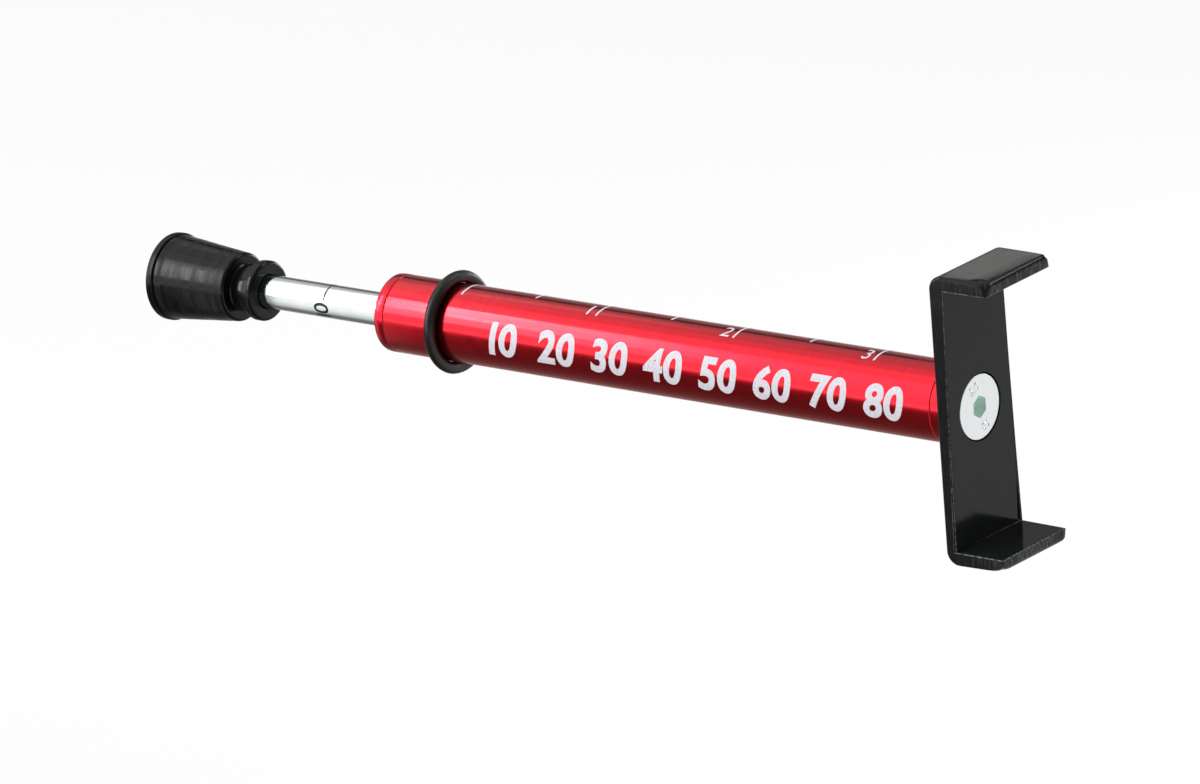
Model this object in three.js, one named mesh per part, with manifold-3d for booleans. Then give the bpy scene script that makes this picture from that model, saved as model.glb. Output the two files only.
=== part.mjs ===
// A belt tension gauge of the pencil kind. A sprung rod with a rubber push pad runs in an
// aluminium barrel, and a steel cradle at the other end sits over the drive belt.
// Millimetres. X runs along the barrel from the push pad to the cradle, Z is up along the
// cradle, and the origin is on the barrel's axis at the middle of the overall length.

import * as THREE from 'three';
import { mergeVertices } from 'three/addons/utils/BufferGeometryUtils.js';
import Module from 'manifold-3d';

const wasm = await Module();
wasm.setup();

// Fits between pieces, as gaps on the radius
const pressGap = 0.04;
const slideGap = 0.06;
const threadGap = 0.05;

// Barrel, a drawn tube
const barrelDiameter = 12;
const barrelWall = 1;
const barrelLength = 101.2;
const barrelEdgeBreak = 0.2;

// Front guide cap, pressed into the barrel. Its wall round the rod sets the rod's size.
const capFlangeLength = 1.75;
const capSpigotLength = 9;
const capGuideWall = 2.3;
const capFrontRound = 0.45;
const capBoreBreak = 0.35;

// Rear plug, pressed into the barrel, which takes the cradle's screw
const plugFlangeLength = 2.65;
const plugSpigotLength = 9;
const plugEdgeBreak = 0.4;

// Plunger rod
const rodShowing = 25.4;
const rodEdgeBreak = 0.4;
const rodPilotLength = 12;
const rodPilotGap = 0.9;
const rodGripDepth = 14.5;
const gripGrooveDepth = 0.35;
const gripGrooveWidth = 1.2;
const gripGrooveFromEnd = 3;

// Retaining clip in a groove of the rod, and the washer that it pushes
const clipThickness = 1;
const clipBoreGap = 0.6;
const clipGrooveDepth = 0.5;
const clipMouthShare = 0.16;
const clipSideGap = 0.05;
const washerThickness = 1;
const washerBoreGap = 0.3;

// Compression spring, closed at both ends
const springWire = 1.4;
const springBoreGap = 0.3;
const springActiveTurns = 21;
const springEndTurns = 1;
const springEndTurnGap = 0.45;
const springSeatGap = 0.1;

// Cradle, one bent strip of sheet steel
const cradleThickness = 2.1;
const cradleWidth = 15.8;
const cradleInnerHeight = 39.6;
const cradleReach = 8;
const cradleInnerBend = 0.5;
const cradleOuterBend = 3.8;
const cradleRollOver = 0.5;

// Countersunk screw with a hexagon socket
const screwHeadDiameter = 9.74;
const screwHeadRim = 0.25;
const screwHeadSunk = 0.1;
const screwHeadGap = 0.13;
const screwShankDiameter = 4.9;
const screwLength = 10;
const screwEndBreak = 0.5;
const socketAcrossFlats = 3;
const socketDepth = 1.8;
const socketDrillPoint = 0.5;

// Reading ring, a rubber ring that slides on the barrel
const ringSection = 1.86;
const ringFromFront = 11.62;
const ringGap = 0.03;

// Rubber push pad on the outer end of the rod, sizes from its wide end
const padLength = 19.3;
const padRimDiameter = 13.6;
const padRimLength = 1.3;
const padRimRound = 0.4;
const padWideDiameter = 13.1;
const padShoulderDiameter = 10.6;
const padShoulderAt = 14.4;
const padShoulderRound = 0.55;
const padNeckDiameter = 7;
const padNeckFlareDiameter = 8.5;
const padCollarDiameter = 9.35;
const padCollarLength = 1.5;
const padCollarRound = 0.8;
const padBoreBreak = 0.3;

// Facets
const roundSides = 48;
const ringSectionSides = 12;
const coilStepsPerTurn = 8;
const wireSides = 5;
const cornerSteps = 4;
const bendSteps = 8;
const clipArcSteps = 20;
const neckSteps = 6;
const valuesPerCorner = 3;

// Places along X, each from the sizes of the pieces before it
const overallLength = padLength + rodShowing + capFlangeLength + barrelLength
  + plugFlangeLength + cradleThickness + cradleReach;
const padWideEnd = -overallLength / 2;
const padCollarFace = padWideEnd + padLength;
const capFrontFace = padCollarFace + rodShowing;
const barrelFront = capFrontFace + capFlangeLength;
const barrelRear = barrelFront + barrelLength;
const cradleBackFace = barrelRear + plugFlangeLength;
const cradleBeltFace = cradleBackFace + cradleThickness;
const cradleTip = cradleBeltFace + cradleReach;
const capInnerEnd = barrelFront + capSpigotLength;
const clipFront = capInnerEnd;
const washerFront = clipFront + clipThickness;
const springFront = washerFront + washerThickness;
const plugInnerEnd = barrelRear - plugSpigotLength;
const rodOuterEnd = padCollarFace - rodGripDepth;
const rodInnerEnd = springFront + rodPilotLength;

// Radii that more than one piece follows
const barrelRadius = barrelDiameter / 2;
const boreRadius = barrelRadius - barrelWall;
const spigotRadius = boreRadius - pressGap;
const rodRadius = spigotRadius - capGuideWall - slideGap;
const washerRadius = boreRadius - washerBoreGap;
const clipRadius = boreRadius - clipBoreGap;
const springRadius = boreRadius - springBoreGap - springWire / 2;
const rodPilotRadius = springRadius - springWire / 2 - rodPilotGap;
const rodGrooveRadius = rodRadius - clipGrooveDepth;
const gripGrooveRadius = rodRadius - gripGrooveDepth;
const gripGrooveStart = rodOuterEnd + gripGrooveFromEnd;
const screwHeadRadius = screwHeadDiameter / 2;
const screwShankRadius = screwShankDiameter / 2;
const countersinkRadius = screwHeadRadius + screwHeadGap;
const tappedRadius = screwShankRadius + threadGap;
const screwHeadFace = cradleBeltFace - screwHeadSunk;
const screwConeStart = screwHeadFace - screwHeadRim;

// Joins equal corners and drops the slivers where a turned outline meets its own axis.
function welded(geometry) {
  geometry.deleteAttribute('normal');
  geometry.deleteAttribute('uv');
  const merged = mergeVertices(geometry);
  const corners = merged.index.array;
  const kept = [];
  for (let i = 0; i < corners.length; i += 3) {
    const [a, b, c] = [corners[i], corners[i + 1], corners[i + 2]];
    if (a !== b && b !== c && c !== a) kept.push(a, b, c);
  }
  merged.setIndex(kept);
  return merged;
}

// Turns an outline of [x, radius] points about the X axis. On its outer side the outline
// runs towards +X.
function turned(outline) {
  const points = outline.map(([x, radius]) => new THREE.Vector2(radius, x));
  const geometry = new THREE.LatheGeometry(points, roundSides);
  geometry.rotateZ(-Math.PI / 2);
  return welded(geometry);
}

// A ring's outline ends where it starts.
function turnedRing(outline) {
  return turned([...outline, outline[0]]);
}

// Points of a round on an outline, about [x, radius], from one angle to another, where
// angle zero points along +X and a quarter turn points outwards.
function roundPoints(x, radius, size, fromAngle, toAngle) {
  const points = [];
  for (let i = 0; i <= cornerSteps; i += 1) {
    const angle = fromAngle + (toAngle - fromAngle) * i / cornerSteps;
    points.push([x + size * Math.cos(angle), radius + size * Math.sin(angle)]);
  }
  return points;
}

function toManifold(geometry) {
  return new wasm.Manifold(new wasm.Mesh({
    numProp: valuesPerCorner,
    vertProperties: new Float32Array(geometry.attributes.position.array),
    triVerts: new Uint32Array(geometry.index.array),
  }));
}

function cutFrom(body, tool) {
  const mesh = toManifold(body).subtract(toManifold(tool)).getMesh();
  const geometry = new THREE.BufferGeometry();
  geometry.setAttribute('position', new THREE.BufferAttribute(mesh.vertProperties, mesh.numProp));
  geometry.setIndex(new THREE.BufferAttribute(mesh.triVerts, 1));
  return geometry;
}

function barrelTube() {
  return turnedRing([
    [barrelFront, barrelRadius - barrelEdgeBreak],
    [barrelFront + barrelEdgeBreak, barrelRadius],
    [barrelRear - barrelEdgeBreak, barrelRadius],
    [barrelRear, barrelRadius - barrelEdgeBreak],
    [barrelRear, boreRadius],
    [barrelFront, boreRadius],
  ]);
}

function frontGuideCap() {
  const bore = rodRadius + slideGap;
  const roundCentre = barrelRadius - capFrontRound;
  return turnedRing([
    [capFrontFace, bore + capBoreBreak],
    ...roundPoints(capFrontFace + capFrontRound, roundCentre, capFrontRound,
      Math.PI, Math.PI / 2),
    [barrelFront - barrelEdgeBreak, barrelRadius],
    [barrelFront, barrelRadius - barrelEdgeBreak],
    [barrelFront, spigotRadius],
    [capInnerEnd - capBoreBreak, spigotRadius],
    [capInnerEnd, spigotRadius - capBoreBreak],
    [capInnerEnd, bore],
    [capFrontFace + capBoreBreak, bore],
  ]);
}

function rearPlug() {
  // The screw's cone runs on from the cradle into the mouth of the tapped hole.
  const mouthRadius = countersinkRadius - (screwConeStart - cradleBackFace);
  const mouthDepth = mouthRadius - tappedRadius;
  return turnedRing([
    [plugInnerEnd, tappedRadius + plugEdgeBreak],
    [plugInnerEnd, spigotRadius - plugEdgeBreak],
    [plugInnerEnd + plugEdgeBreak, spigotRadius],
    [barrelRear, spigotRadius],
    [barrelRear, barrelRadius - barrelEdgeBreak],
    [barrelRear + barrelEdgeBreak, barrelRadius],
    [cradleBackFace - barrelEdgeBreak, barrelRadius],
    [cradleBackFace, barrelRadius - barrelEdgeBreak],
    [cradleBackFace, mouthRadius],
    [cradleBackFace - mouthDepth, tappedRadius],
    [plugInnerEnd + plugEdgeBreak, tappedRadius],
  ]);
}

function plungerRod() {
  const clipGrooveStart = clipFront - clipSideGap;
  const clipGrooveEnd = washerFront + clipSideGap;
  return turned([
    [rodOuterEnd, 0],
    [rodOuterEnd, rodRadius - rodEdgeBreak],
    [rodOuterEnd + rodEdgeBreak, rodRadius],
    [gripGrooveStart, rodRadius],
    [gripGrooveStart, gripGrooveRadius],
    [gripGrooveStart + gripGrooveWidth, gripGrooveRadius],
    [gripGrooveStart + gripGrooveWidth, rodRadius],
    [clipGrooveStart, rodRadius],
    [clipGrooveStart, rodGrooveRadius],
    [clipGrooveEnd, rodGrooveRadius],
    [clipGrooveEnd, rodRadius],
    [springFront, rodRadius],
    [springFront, rodPilotRadius],
    [rodInnerEnd - rodEdgeBreak, rodPilotRadius],
    [rodInnerEnd, rodPilotRadius - rodEdgeBreak],
    [rodInnerEnd, 0],
  ]);
}

// A clip like a letter C, pushed on sideways. Its mouth is a share of a full turn.
function retainingClip() {
  const inner = rodGrooveRadius + pressGap;
  const mouthAngle = 2 * Math.PI * clipMouthShare;
  const start = -Math.PI / 2 + mouthAngle / 2;
  const end = 3 * Math.PI / 2 - mouthAngle / 2;
  const outline = new THREE.Shape();
  outline.absarc(0, 0, clipRadius, start, end, false);
  outline.absarc(0, 0, inner, end, start, true);
  const geometry = new THREE.ExtrudeGeometry(outline, {
    depth: clipThickness,
    bevelEnabled: false,
    curveSegments: clipArcSteps,
  });
  geometry.rotateY(Math.PI / 2);
  geometry.translate(clipFront, 0, 0);
  return welded(geometry);
}

function thrustWasher() {
  const bore = rodRadius + slideGap;
  return turnedRing([
    [washerFront, bore],
    [washerFront, washerRadius],
    [springFront, washerRadius],
    [springFront, bore],
  ]);
}

// The wire's middle line: closed turns at the ends and an even pitch between them.
function springLine() {
  const endPitch = springWire + springEndTurnGap;
  const turns = springActiveTurns + 2 * springEndTurns;
  const start = springFront + springWire / 2 + springSeatGap;
  const end = plugInnerEnd - springWire / 2 - springSeatGap;
  const pitch = (end - start - 2 * springEndTurns * endPitch) / springActiveTurns;
  const line = [];
  for (let i = 0; i <= turns * coilStepsPerTurn; i += 1) {
    const turn = i / coilStepsPerTurn;
    const closed = Math.min(turn, springEndTurns) + Math.max(turn - turns + springEndTurns, 0);
    const x = start + endPitch * closed + pitch * (turn - closed);
    const angle = 2 * Math.PI * turn;
    line.push(new THREE.Vector3(x, springRadius * Math.cos(angle), springRadius * Math.sin(angle)));
  }
  return line;
}

// The least gap between one turn of the wire and the next, over the middle line's points.
function leastSpringGap(line) {
  let least = Infinity;
  const apart = coilStepsPerTurn / 2;
  for (let i = 0; i < line.length; i += 1) {
    for (let j = i + apart; j < line.length; j += 1) {
      least = Math.min(least, line[i].distanceTo(line[j]) - springWire);
    }
  }
  return least;
}

// One unbroken wire: a section of flat sides carried along the line, with flat ends.
function compressionSpring() {
  const line = springLine();
  const positions = [];
  const faces = [];
  line.forEach((point, i) => {
    const before = line[Math.max(i - 1, 0)];
    const after = line[Math.min(i + 1, line.length - 1)];
    const along = after.clone().sub(before).normalize();
    const outward = new THREE.Vector3(0, point.y, point.z).normalize();
    const side = along.clone().cross(outward).normalize();
    for (let k = 0; k < wireSides; k += 1) {
      const angle = 2 * Math.PI * k / wireSides;
      const corner = point.clone();
      corner.addScaledVector(outward, springWire / 2 * Math.cos(angle));
      corner.addScaledVector(side, springWire / 2 * Math.sin(angle));
      positions.push(corner.x, corner.y, corner.z);
    }
  });
  for (let i = 0; i + 1 < line.length; i += 1) {
    for (let k = 0; k < wireSides; k += 1) {
      const a = i * wireSides + k;
      const b = i * wireSides + (k + 1) % wireSides;
      faces.push(a, b, b + wireSides);
      faces.push(a, b + wireSides, a + wireSides);
    }
  }
  const last = (line.length - 1) * wireSides;
  for (let k = 1; k + 1 < wireSides; k += 1) {
    faces.push(0, k + 1, k);
    faces.push(last, last + k, last + k + 1);
  }
  const geometry = new THREE.BufferGeometry();
  geometry.setAttribute('position', new THREE.Float32BufferAttribute(positions, valuesPerCorner));
  geometry.setIndex(faces);
  console.log(`compression_spring: least gap to itself ${leastSpringGap(line).toFixed(2)} mm`);
  return geometry;
}

// The lower half of the strip as stations, from the flange's tip to the plate. Each has
// its point on the belt-side face and the one behind it on the outer face, as [x, z]. The
// outer face is rolled over at the sheared tip and has its own, larger bend.
function lowerStations() {
  const inside = -cradleInnerHeight / 2;
  const outside = inside - cradleThickness;
  const stations = [];
  for (let i = 0; i <= cornerSteps; i += 1) {
    const angle = Math.PI / 2 * i / cornerSteps;
    const x = cradleTip - cradleRollOver * (1 - Math.cos(angle));
    const rolled = outside + cradleRollOver * (1 - Math.sin(angle));
    stations.push({ inner: [x, inside], outer: [x, rolled] });
  }
  for (let i = 0; i <= bendSteps; i += 1) {
    const angle = Math.PI / 2 * i / bendSteps;
    const back = 1 - Math.sin(angle);
    const down = 1 - Math.cos(angle);
    stations.push({
      inner: [cradleBeltFace + cradleInnerBend * back, inside + cradleInnerBend * down],
      outer: [cradleBackFace + cradleOuterBend * back, outside + cradleOuterBend * down],
    });
  }
  return stations;
}

function cradleStations() {
  const lower = lowerStations();
  const upper = lower.map(({ inner, outer }) => ({
    inner: [inner[0], -inner[1]],
    outer: [outer[0], -outer[1]],
  }));
  return [...lower, ...upper.reverse()];
}

// The strip's section at a station: square at the belt-side face, rolled over outside.
function stripSection({ inner, outer }) {
  const half = cradleWidth / 2;
  const depth = Math.hypot(outer[0] - inner[0], outer[1] - inner[1]);
  const section = [[-half, 0], [half, 0]];
  for (let i = 0; i <= cornerSteps; i += 1) {
    const angle = Math.PI / 2 * i / cornerSteps;
    const inset = cradleRollOver * (1 - Math.cos(angle));
    section.push([half - inset, depth - cradleRollOver * (1 - Math.sin(angle))]);
  }
  for (let i = cornerSteps; i >= 0; i -= 1) {
    const [side, out] = section[2 + i];
    section.push([-side, out]);
  }
  return section.map(([side, out]) => [
    inner[0] + (outer[0] - inner[0]) * out / depth,
    side,
    inner[1] + (outer[1] - inner[1]) * out / depth,
  ]);
}

function cradleStrip() {
  const stations = cradleStations();
  const rings = stations.map(stripSection);
  const corners = rings[0].length;
  const faces = [];
  for (let i = 0; i + 1 < rings.length; i += 1) {
    for (let k = 0; k < corners; k += 1) {
      const a = i * corners + k;
      const b = i * corners + (k + 1) % corners;
      faces.push(a, b, b + corners);
      faces.push(a, b + corners, a + corners);
    }
  }
  const last = (rings.length - 1) * corners;
  for (let k = 1; k + 1 < corners; k += 1) {
    faces.push(0, k + 1, k);
    faces.push(last, last + k, last + k + 1);
  }
  const geometry = new THREE.BufferGeometry();
  geometry.setAttribute('position', new THREE.Float32BufferAttribute(rings.flat(2), valuesPerCorner));
  geometry.setIndex(faces);
  return welded(geometry);
}

// The countersunk hole, run past both faces of the strip.
function countersink() {
  const overrun = cradleThickness / 2;
  const narrowRadius = tappedRadius;
  const narrowX = screwConeStart - (countersinkRadius - narrowRadius);
  return turned([
    [narrowX - overrun, 0],
    [narrowX - overrun, narrowRadius],
    [narrowX, narrowRadius],
    [screwConeStart, countersinkRadius],
    [cradleBeltFace + overrun, countersinkRadius],
    [cradleBeltFace + overrun, 0],
  ]);
}

function beltCradle() {
  return cutFrom(cradleStrip(), countersink());
}

// A hexagon with one corner up and a drilled point at its floor.
function hexagonSocket() {
  const radius = socketAcrossFlats / Math.sqrt(3);
  const sides = 6;
  const outline = [
    [screwHeadFace - socketDepth - socketDrillPoint, 0],
    [screwHeadFace - socketDepth, radius],
    [screwHeadFace + socketDepth, radius],
    [screwHeadFace + socketDepth, 0],
  ];
  const points = outline.map(([x, r]) => new THREE.Vector2(r, x));
  const geometry = new THREE.LatheGeometry(points, sides);
  geometry.rotateZ(-Math.PI / 2);
  return welded(geometry);
}

function cradleScrew() {
  const screwEnd = screwHeadFace - screwLength;
  const coneEnd = screwConeStart - (screwHeadRadius - screwShankRadius);
  const blank = turned([
    [screwEnd, 0],
    [screwEnd, screwShankRadius - screwEndBreak],
    [screwEnd + screwEndBreak, screwShankRadius],
    [coneEnd, screwShankRadius],
    [screwConeStart, screwHeadRadius],
    [screwHeadFace, screwHeadRadius],
    [screwHeadFace, 0],
  ]);
  return cutFrom(blank, hexagonSocket());
}

function readingRing() {
  const middleRadius = barrelRadius + ringGap + ringSection / 2;
  const geometry = new THREE.TorusGeometry(middleRadius, ringSection / 2, ringSectionSides, roundSides);
  geometry.rotateY(Math.PI / 2);
  geometry.translate(capFrontFace + ringFromFront, 0, 0);
  return welded(geometry);
}

// The neck swells from the shoulder to the collar on a quarter wave.
function padNeckPoints() {
  const start = padWideEnd + padShoulderAt;
  const end = padCollarFace - padCollarLength;
  const swell = (padNeckFlareDiameter - padNeckDiameter) / 2;
  const points = [];
  for (let i = 0; i <= neckSteps; i += 1) {
    const share = i / neckSteps;
    const radius = padNeckDiameter / 2 + swell * (1 - Math.cos(Math.PI / 2 * share));
    points.push([start + (end - start) * share, radius]);
  }
  return points;
}

function rubberStopper() {
  const rimRadius = padRimDiameter / 2;
  const shoulderRadius = padShoulderDiameter / 2;
  const collarRadius = padCollarDiameter / 2;
  const bore = rodRadius + pressGap;
  const boreFloor = rodOuterEnd - pressGap;
  const ribRadius = gripGrooveRadius + pressGap;
  const ribStart = gripGrooveStart + pressGap;
  const ribEnd = gripGrooveStart + gripGrooveWidth - pressGap;
  const shoulderX = padWideEnd + padShoulderAt;
  return turned([
    [padWideEnd, 0],
    ...roundPoints(padWideEnd + padRimRound, rimRadius - padRimRound, padRimRound,
      Math.PI, Math.PI / 2),
    [padWideEnd + padRimLength, rimRadius],
    [padWideEnd + padRimLength, padWideDiameter / 2],
    ...roundPoints(shoulderX - padShoulderRound, shoulderRadius - padShoulderRound,
      padShoulderRound, Math.PI / 2, 0),
    ...padNeckPoints(),
    [padCollarFace - padCollarLength, collarRadius],
    ...roundPoints(padCollarFace - padCollarRound, collarRadius - padCollarRound,
      padCollarRound, Math.PI / 2, 0),
    [padCollarFace, bore + padBoreBreak],
    [padCollarFace - padBoreBreak, bore],
    [ribEnd, bore],
    [ribEnd, ribRadius],
    [ribStart, ribRadius],
    [ribStart, bore],
    [boreFloor, bore],
    [boreFloor, 0],
  ]);
}

// Finishes
const finishes = {
  redAnodised: { color: 0xb3122b, roughness: 0.3, metalness: 0.8 },
  brightZinc: { color: 0xd3d8d6, roughness: 0.28, metalness: 0.9 },
  whiteZinc: { color: 0xc3cac8, roughness: 0.4, metalness: 0.85 },
  springSteel: { color: 0x80848a, roughness: 0.35, metalness: 0.9 },
  blackPaint: { color: 0x101114, roughness: 0.25, metalness: 0 },
  blackRubber: { color: 0x1b1c1e, roughness: 0.7, metalness: 0 },
};

const group = new THREE.Group();

function add(name, geometry, finish) {
  const material = new THREE.MeshStandardMaterial({ ...finishes[finish], flatShading: true });
  const mesh = new THREE.Mesh(geometry, material);
  mesh.name = name;
  group.add(mesh);
}

add('barrel_tube', barrelTube(), 'redAnodised');
add('front_guide_cap', frontGuideCap(), 'redAnodised');
add('rear_plug', rearPlug(), 'redAnodised');
add('plunger_rod', plungerRod(), 'brightZinc');
add('retaining_clip', retainingClip(), 'springSteel');
add('thrust_washer', thrustWasher(), 'whiteZinc');
add('compression_spring', compressionSpring(), 'springSteel');
add('belt_cradle', beltCradle(), 'blackPaint');
add('cradle_screw', cradleScrew(), 'whiteZinc');
add('reading_ring', readingRing(), 'blackRubber');
add('rubber_stopper', rubberStopper(), 'blackRubber');

export default group;
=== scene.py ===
# %% [markdown]
# # A pencil gauge for drive belts
# The gauge is a red turned barrel with a sprung rod in it. A rubber stopper sits on the rod,
# a bent steel cradle is screwed to the other end, and a rubber ring slides along the inch
# marks to hold a reading. The solids come from the frame. This notebook makes the surfaces
# that a camera sees, one piece at a time, and each piece takes the place of one solid.

import math

import bmesh
import bpy
from mathutils import Matrix, Vector


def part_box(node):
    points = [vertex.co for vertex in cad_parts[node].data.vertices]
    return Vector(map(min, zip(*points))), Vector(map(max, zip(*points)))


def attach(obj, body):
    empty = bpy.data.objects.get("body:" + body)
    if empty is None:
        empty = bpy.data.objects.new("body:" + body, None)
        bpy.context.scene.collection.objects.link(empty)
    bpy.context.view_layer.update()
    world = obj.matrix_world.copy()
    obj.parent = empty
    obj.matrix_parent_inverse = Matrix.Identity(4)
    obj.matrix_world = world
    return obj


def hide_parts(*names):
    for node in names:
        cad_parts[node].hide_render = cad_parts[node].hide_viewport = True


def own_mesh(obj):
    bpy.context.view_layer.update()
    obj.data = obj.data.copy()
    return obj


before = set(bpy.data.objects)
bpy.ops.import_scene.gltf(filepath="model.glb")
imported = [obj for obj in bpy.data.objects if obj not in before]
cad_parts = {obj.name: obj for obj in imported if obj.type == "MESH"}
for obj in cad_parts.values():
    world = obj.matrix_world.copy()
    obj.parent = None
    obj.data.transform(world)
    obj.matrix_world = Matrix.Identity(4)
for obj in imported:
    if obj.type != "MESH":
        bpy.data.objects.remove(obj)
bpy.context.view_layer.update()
MM = 0.001

# %% [markdown]
# The frame says where everything is. The pieces' ends are read from its boxes, so that a
# surface made here always lies on its solid.

# %% Places read from the frame


def ends(node):
    """The lowest and highest x of a solid, and its largest radius from the axis."""
    low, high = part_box(node)
    return low.x, high.x, high.z


barrel_front, barrel_rear, barrel_radius = ends("barrel_tube")
cap_face, cap_inner, _ = ends("front_guide_cap")
plug_inner, cradle_back, _ = ends("rear_plug")
rod_outer, rod_inner, rod_radius = ends("plunger_rod")
clip_front, washer_front, _ = ends("retaining_clip")
_, spring_front, washer_radius = ends("thrust_washer")
screw_end, screw_face, screw_head_radius = ends("cradle_screw")
ring_low, ring_high, ring_outer = ends("reading_ring")
pad_end, collar_face, rim_radius = ends("rubber_stopper")
cradle_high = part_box("belt_cradle")[1]
print(f"barrel from {barrel_front / MM:.2f} to {barrel_rear / MM:.2f} mm,",
      f"radius {barrel_radius / MM:.2f} mm")

# %% [markdown]
# ## Helpers for modelling
# Blender's operators act on whatever is selected, and the frame arrives selected. Each
# helper therefore starts from nothing selected. Faces and edges are then picked by a test
# on their place or normal, which does in code what a click does by hand.

# %% Selection helpers


def start_clean():
    """Leaves edit mode and selects nothing."""
    if bpy.context.object and bpy.context.object.mode != "OBJECT":
        bpy.ops.object.mode_set(mode="OBJECT")
    bpy.ops.object.select_all(action="DESELECT")


def hold(piece):
    """Makes a piece the only selected one, and the active one."""
    start_clean()
    piece.select_set(True)
    bpy.context.view_layer.objects.active = piece


def named(name):
    """Names the object that an operator has just added, and puts its place in its mesh."""
    piece = bpy.context.object
    piece.name = name
    piece.data.name = name
    bpy.ops.object.transform_apply(location=True, rotation=True, scale=True)
    return piece


def edit():
    """Enters edit mode on the active piece."""
    bpy.ops.object.mode_set(mode="EDIT")


def everything():
    """In edit mode, selects the whole mesh."""
    bpy.ops.mesh.select_all(action="SELECT")


def extrude(x=0.0, z=0.0):
    """In edit mode, extrudes what is selected by a distance along x or z."""
    bpy.ops.mesh.extrude_region_move(TRANSFORM_OT_translate={"value": (x, 0, z)})


def pick(piece, kind, test):
    """In edit mode, selects the faces or edges that pass a test, and counts them."""
    bpy.ops.mesh.select_mode(type=kind)
    bpy.ops.mesh.select_all(action="DESELECT")
    mesh = bmesh.from_edit_mesh(piece.data)
    mesh.normal_update()
    chosen = [e for e in (mesh.faces if kind == "FACE" else mesh.edges) if test(e)]
    for element in chosen:
        element.select_set(True)
    mesh.select_flush_mode()
    bmesh.update_edit_mesh(piece.data)
    return len(chosen)


print("ready to select:", ", ".join(f.__name__ for f in (start_clean, hold, edit, pick)))

# %% [markdown]
# Modifiers are applied at once, so that a piece is plain mesh at each step. Turned metal
# wants smooth shading that stops at its edges. It could be set face by face, but the angle
# between faces tells the two apart, and weighted normals keep the large faces flat.

# %% Modifier, shading and size helpers


def apply_modifier(piece, kind, **settings):
    """Adds a modifier to a piece, sets it and applies it."""
    hold(piece)
    modifier = piece.modifiers.new(kind.lower(), kind)
    for key, value in settings.items():
        setattr(modifier, key, value)
    bpy.ops.object.modifier_apply(modifier=modifier.name)


def smooth(piece, degrees=30):
    """Smooth shading that stops at sharper edges, and leans on the larger faces."""
    hold(piece)
    bpy.ops.object.shade_smooth_by_angle(angle=math.radians(degrees))
    apply_modifier(piece, "WEIGHTED_NORMAL", keep_sharp=True)


def report(piece):
    """Prints a piece's size and its number of triangles."""
    size = piece.dimensions / MM
    piece.data.calc_loop_triangles()
    count = len(piece.data.loop_triangles)
    print(f"{piece.name}: {size.x:.2f} x {size.y:.2f} x {size.z:.2f} mm, {count} triangles")


# %% [markdown]
# Most pieces come off a lathe. A turned piece starts as a ring of points. The ring is
# extruded along the axis and resized, station by station, as one would do by hand with
# the E and S keys. Spin would do the same from an outline, but extruding keeps the
# stations readable as pairs of place and radius.

# %% The lathe
ROUND_SIDES = 160


def arc(x, radius, size, start, stop, steps=6):
    """Stations of a rounded edge. Angles are in degrees, and 90 points away from the axis."""
    turns = [math.radians(start + (stop - start) * i / steps) for i in range(steps + 1)]
    return [(x + size * math.cos(a), radius + size * math.sin(a)) for a in turns]


def turned(name, stations, sides=ROUND_SIDES, hollow=False):
    """A turned piece on the X axis. A hollow one ends where it starts, and is welded there."""
    start_clean()
    x, radius = stations[0]
    bpy.ops.mesh.primitive_circle_add(
        vertices=sides, radius=radius, location=(x, 0, 0), rotation=(0, math.pi / 2, 0)
    )
    piece = named(name)
    edit()
    bpy.ops.mesh.select_mode(type="EDGE")
    everything()
    for next_x, next_radius in stations[1:]:
        share = next_radius / radius
        extrude(x=next_x - x)
        bpy.ops.transform.resize(value=(1, share, share), center_override=(next_x, 0, 0))
        x, radius = next_x, next_radius
    everything()
    if hollow:
        bpy.ops.mesh.remove_doubles(threshold=0.002 * MM)
    else:
        bpy.ops.mesh.fill_holes(sides=0)
        everything()
    bpy.ops.mesh.normals_make_consistent(inside=False)
    smooth(piece)
    report(piece)
    return piece


# %% [markdown]
# ## Helpers for materials
# A material is a small tree of nodes. It could be wired by hand in the shader editor. In
# code, one helper adds a node and wires it, and the others are its most used forms: a sum,
# a range, a blend of two colours and a bump.

# %% Node helpers


def node(tree, kind, sockets=None, **settings):
    """Adds a node. Each socket is given a value, or another node's output to link."""
    made = tree.nodes.new(kind)
    for key, value in settings.items():
        setattr(made, key, value)
    for key, value in (sockets or {}).items():
        if isinstance(value, bpy.types.NodeSocket):
            tree.links.new(value, made.inputs[key])
        else:
            made.inputs[key].default_value = value
    return made


def maths(tree, operation, first, second=0.0):
    """One sum of two values, as an output to link."""
    return node(tree, "ShaderNodeMath", {0: first, 1: second}, operation=operation).outputs[0]


def remap(tree, value, low, high, to_low, to_high):
    """A value moved from one range to another, and kept inside it."""
    sockets = {"Value": value, "From Min": low, "From Max": high}
    sockets.update({"To Min": to_low, "To Max": to_high})
    return node(tree, "ShaderNodeMapRange", sockets).outputs[0]


def blend_colours(tree, factor, first, second):
    """A colour between two others, as an output to link."""
    made = node(tree, "ShaderNodeMix", {0: factor, 6: first, 7: second}, data_type="RGBA")
    return made.outputs[2]


def bump(tree, height, depth, normal=None):
    """A normal tilted by a height that runs from 0 to 1 over a depth in metres."""
    sockets = {"Height": height, "Distance": depth, "Strength": 1.0}
    if normal is not None:
        sockets["Normal"] = normal
    return node(tree, "ShaderNodeBump", sockets).outputs[0]


print("ready to wire:", ", ".join(f.__name__ for f in (node, maths, remap, bump)))

# %% [markdown]
# A group has named sockets, so that turning lines or grain are built once and used with
# their own values in several finishes. A material starts from Blender's own shader, gets
# its constant values there, and is then fed what varies over the surface.

# %% Group and material helpers


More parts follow.
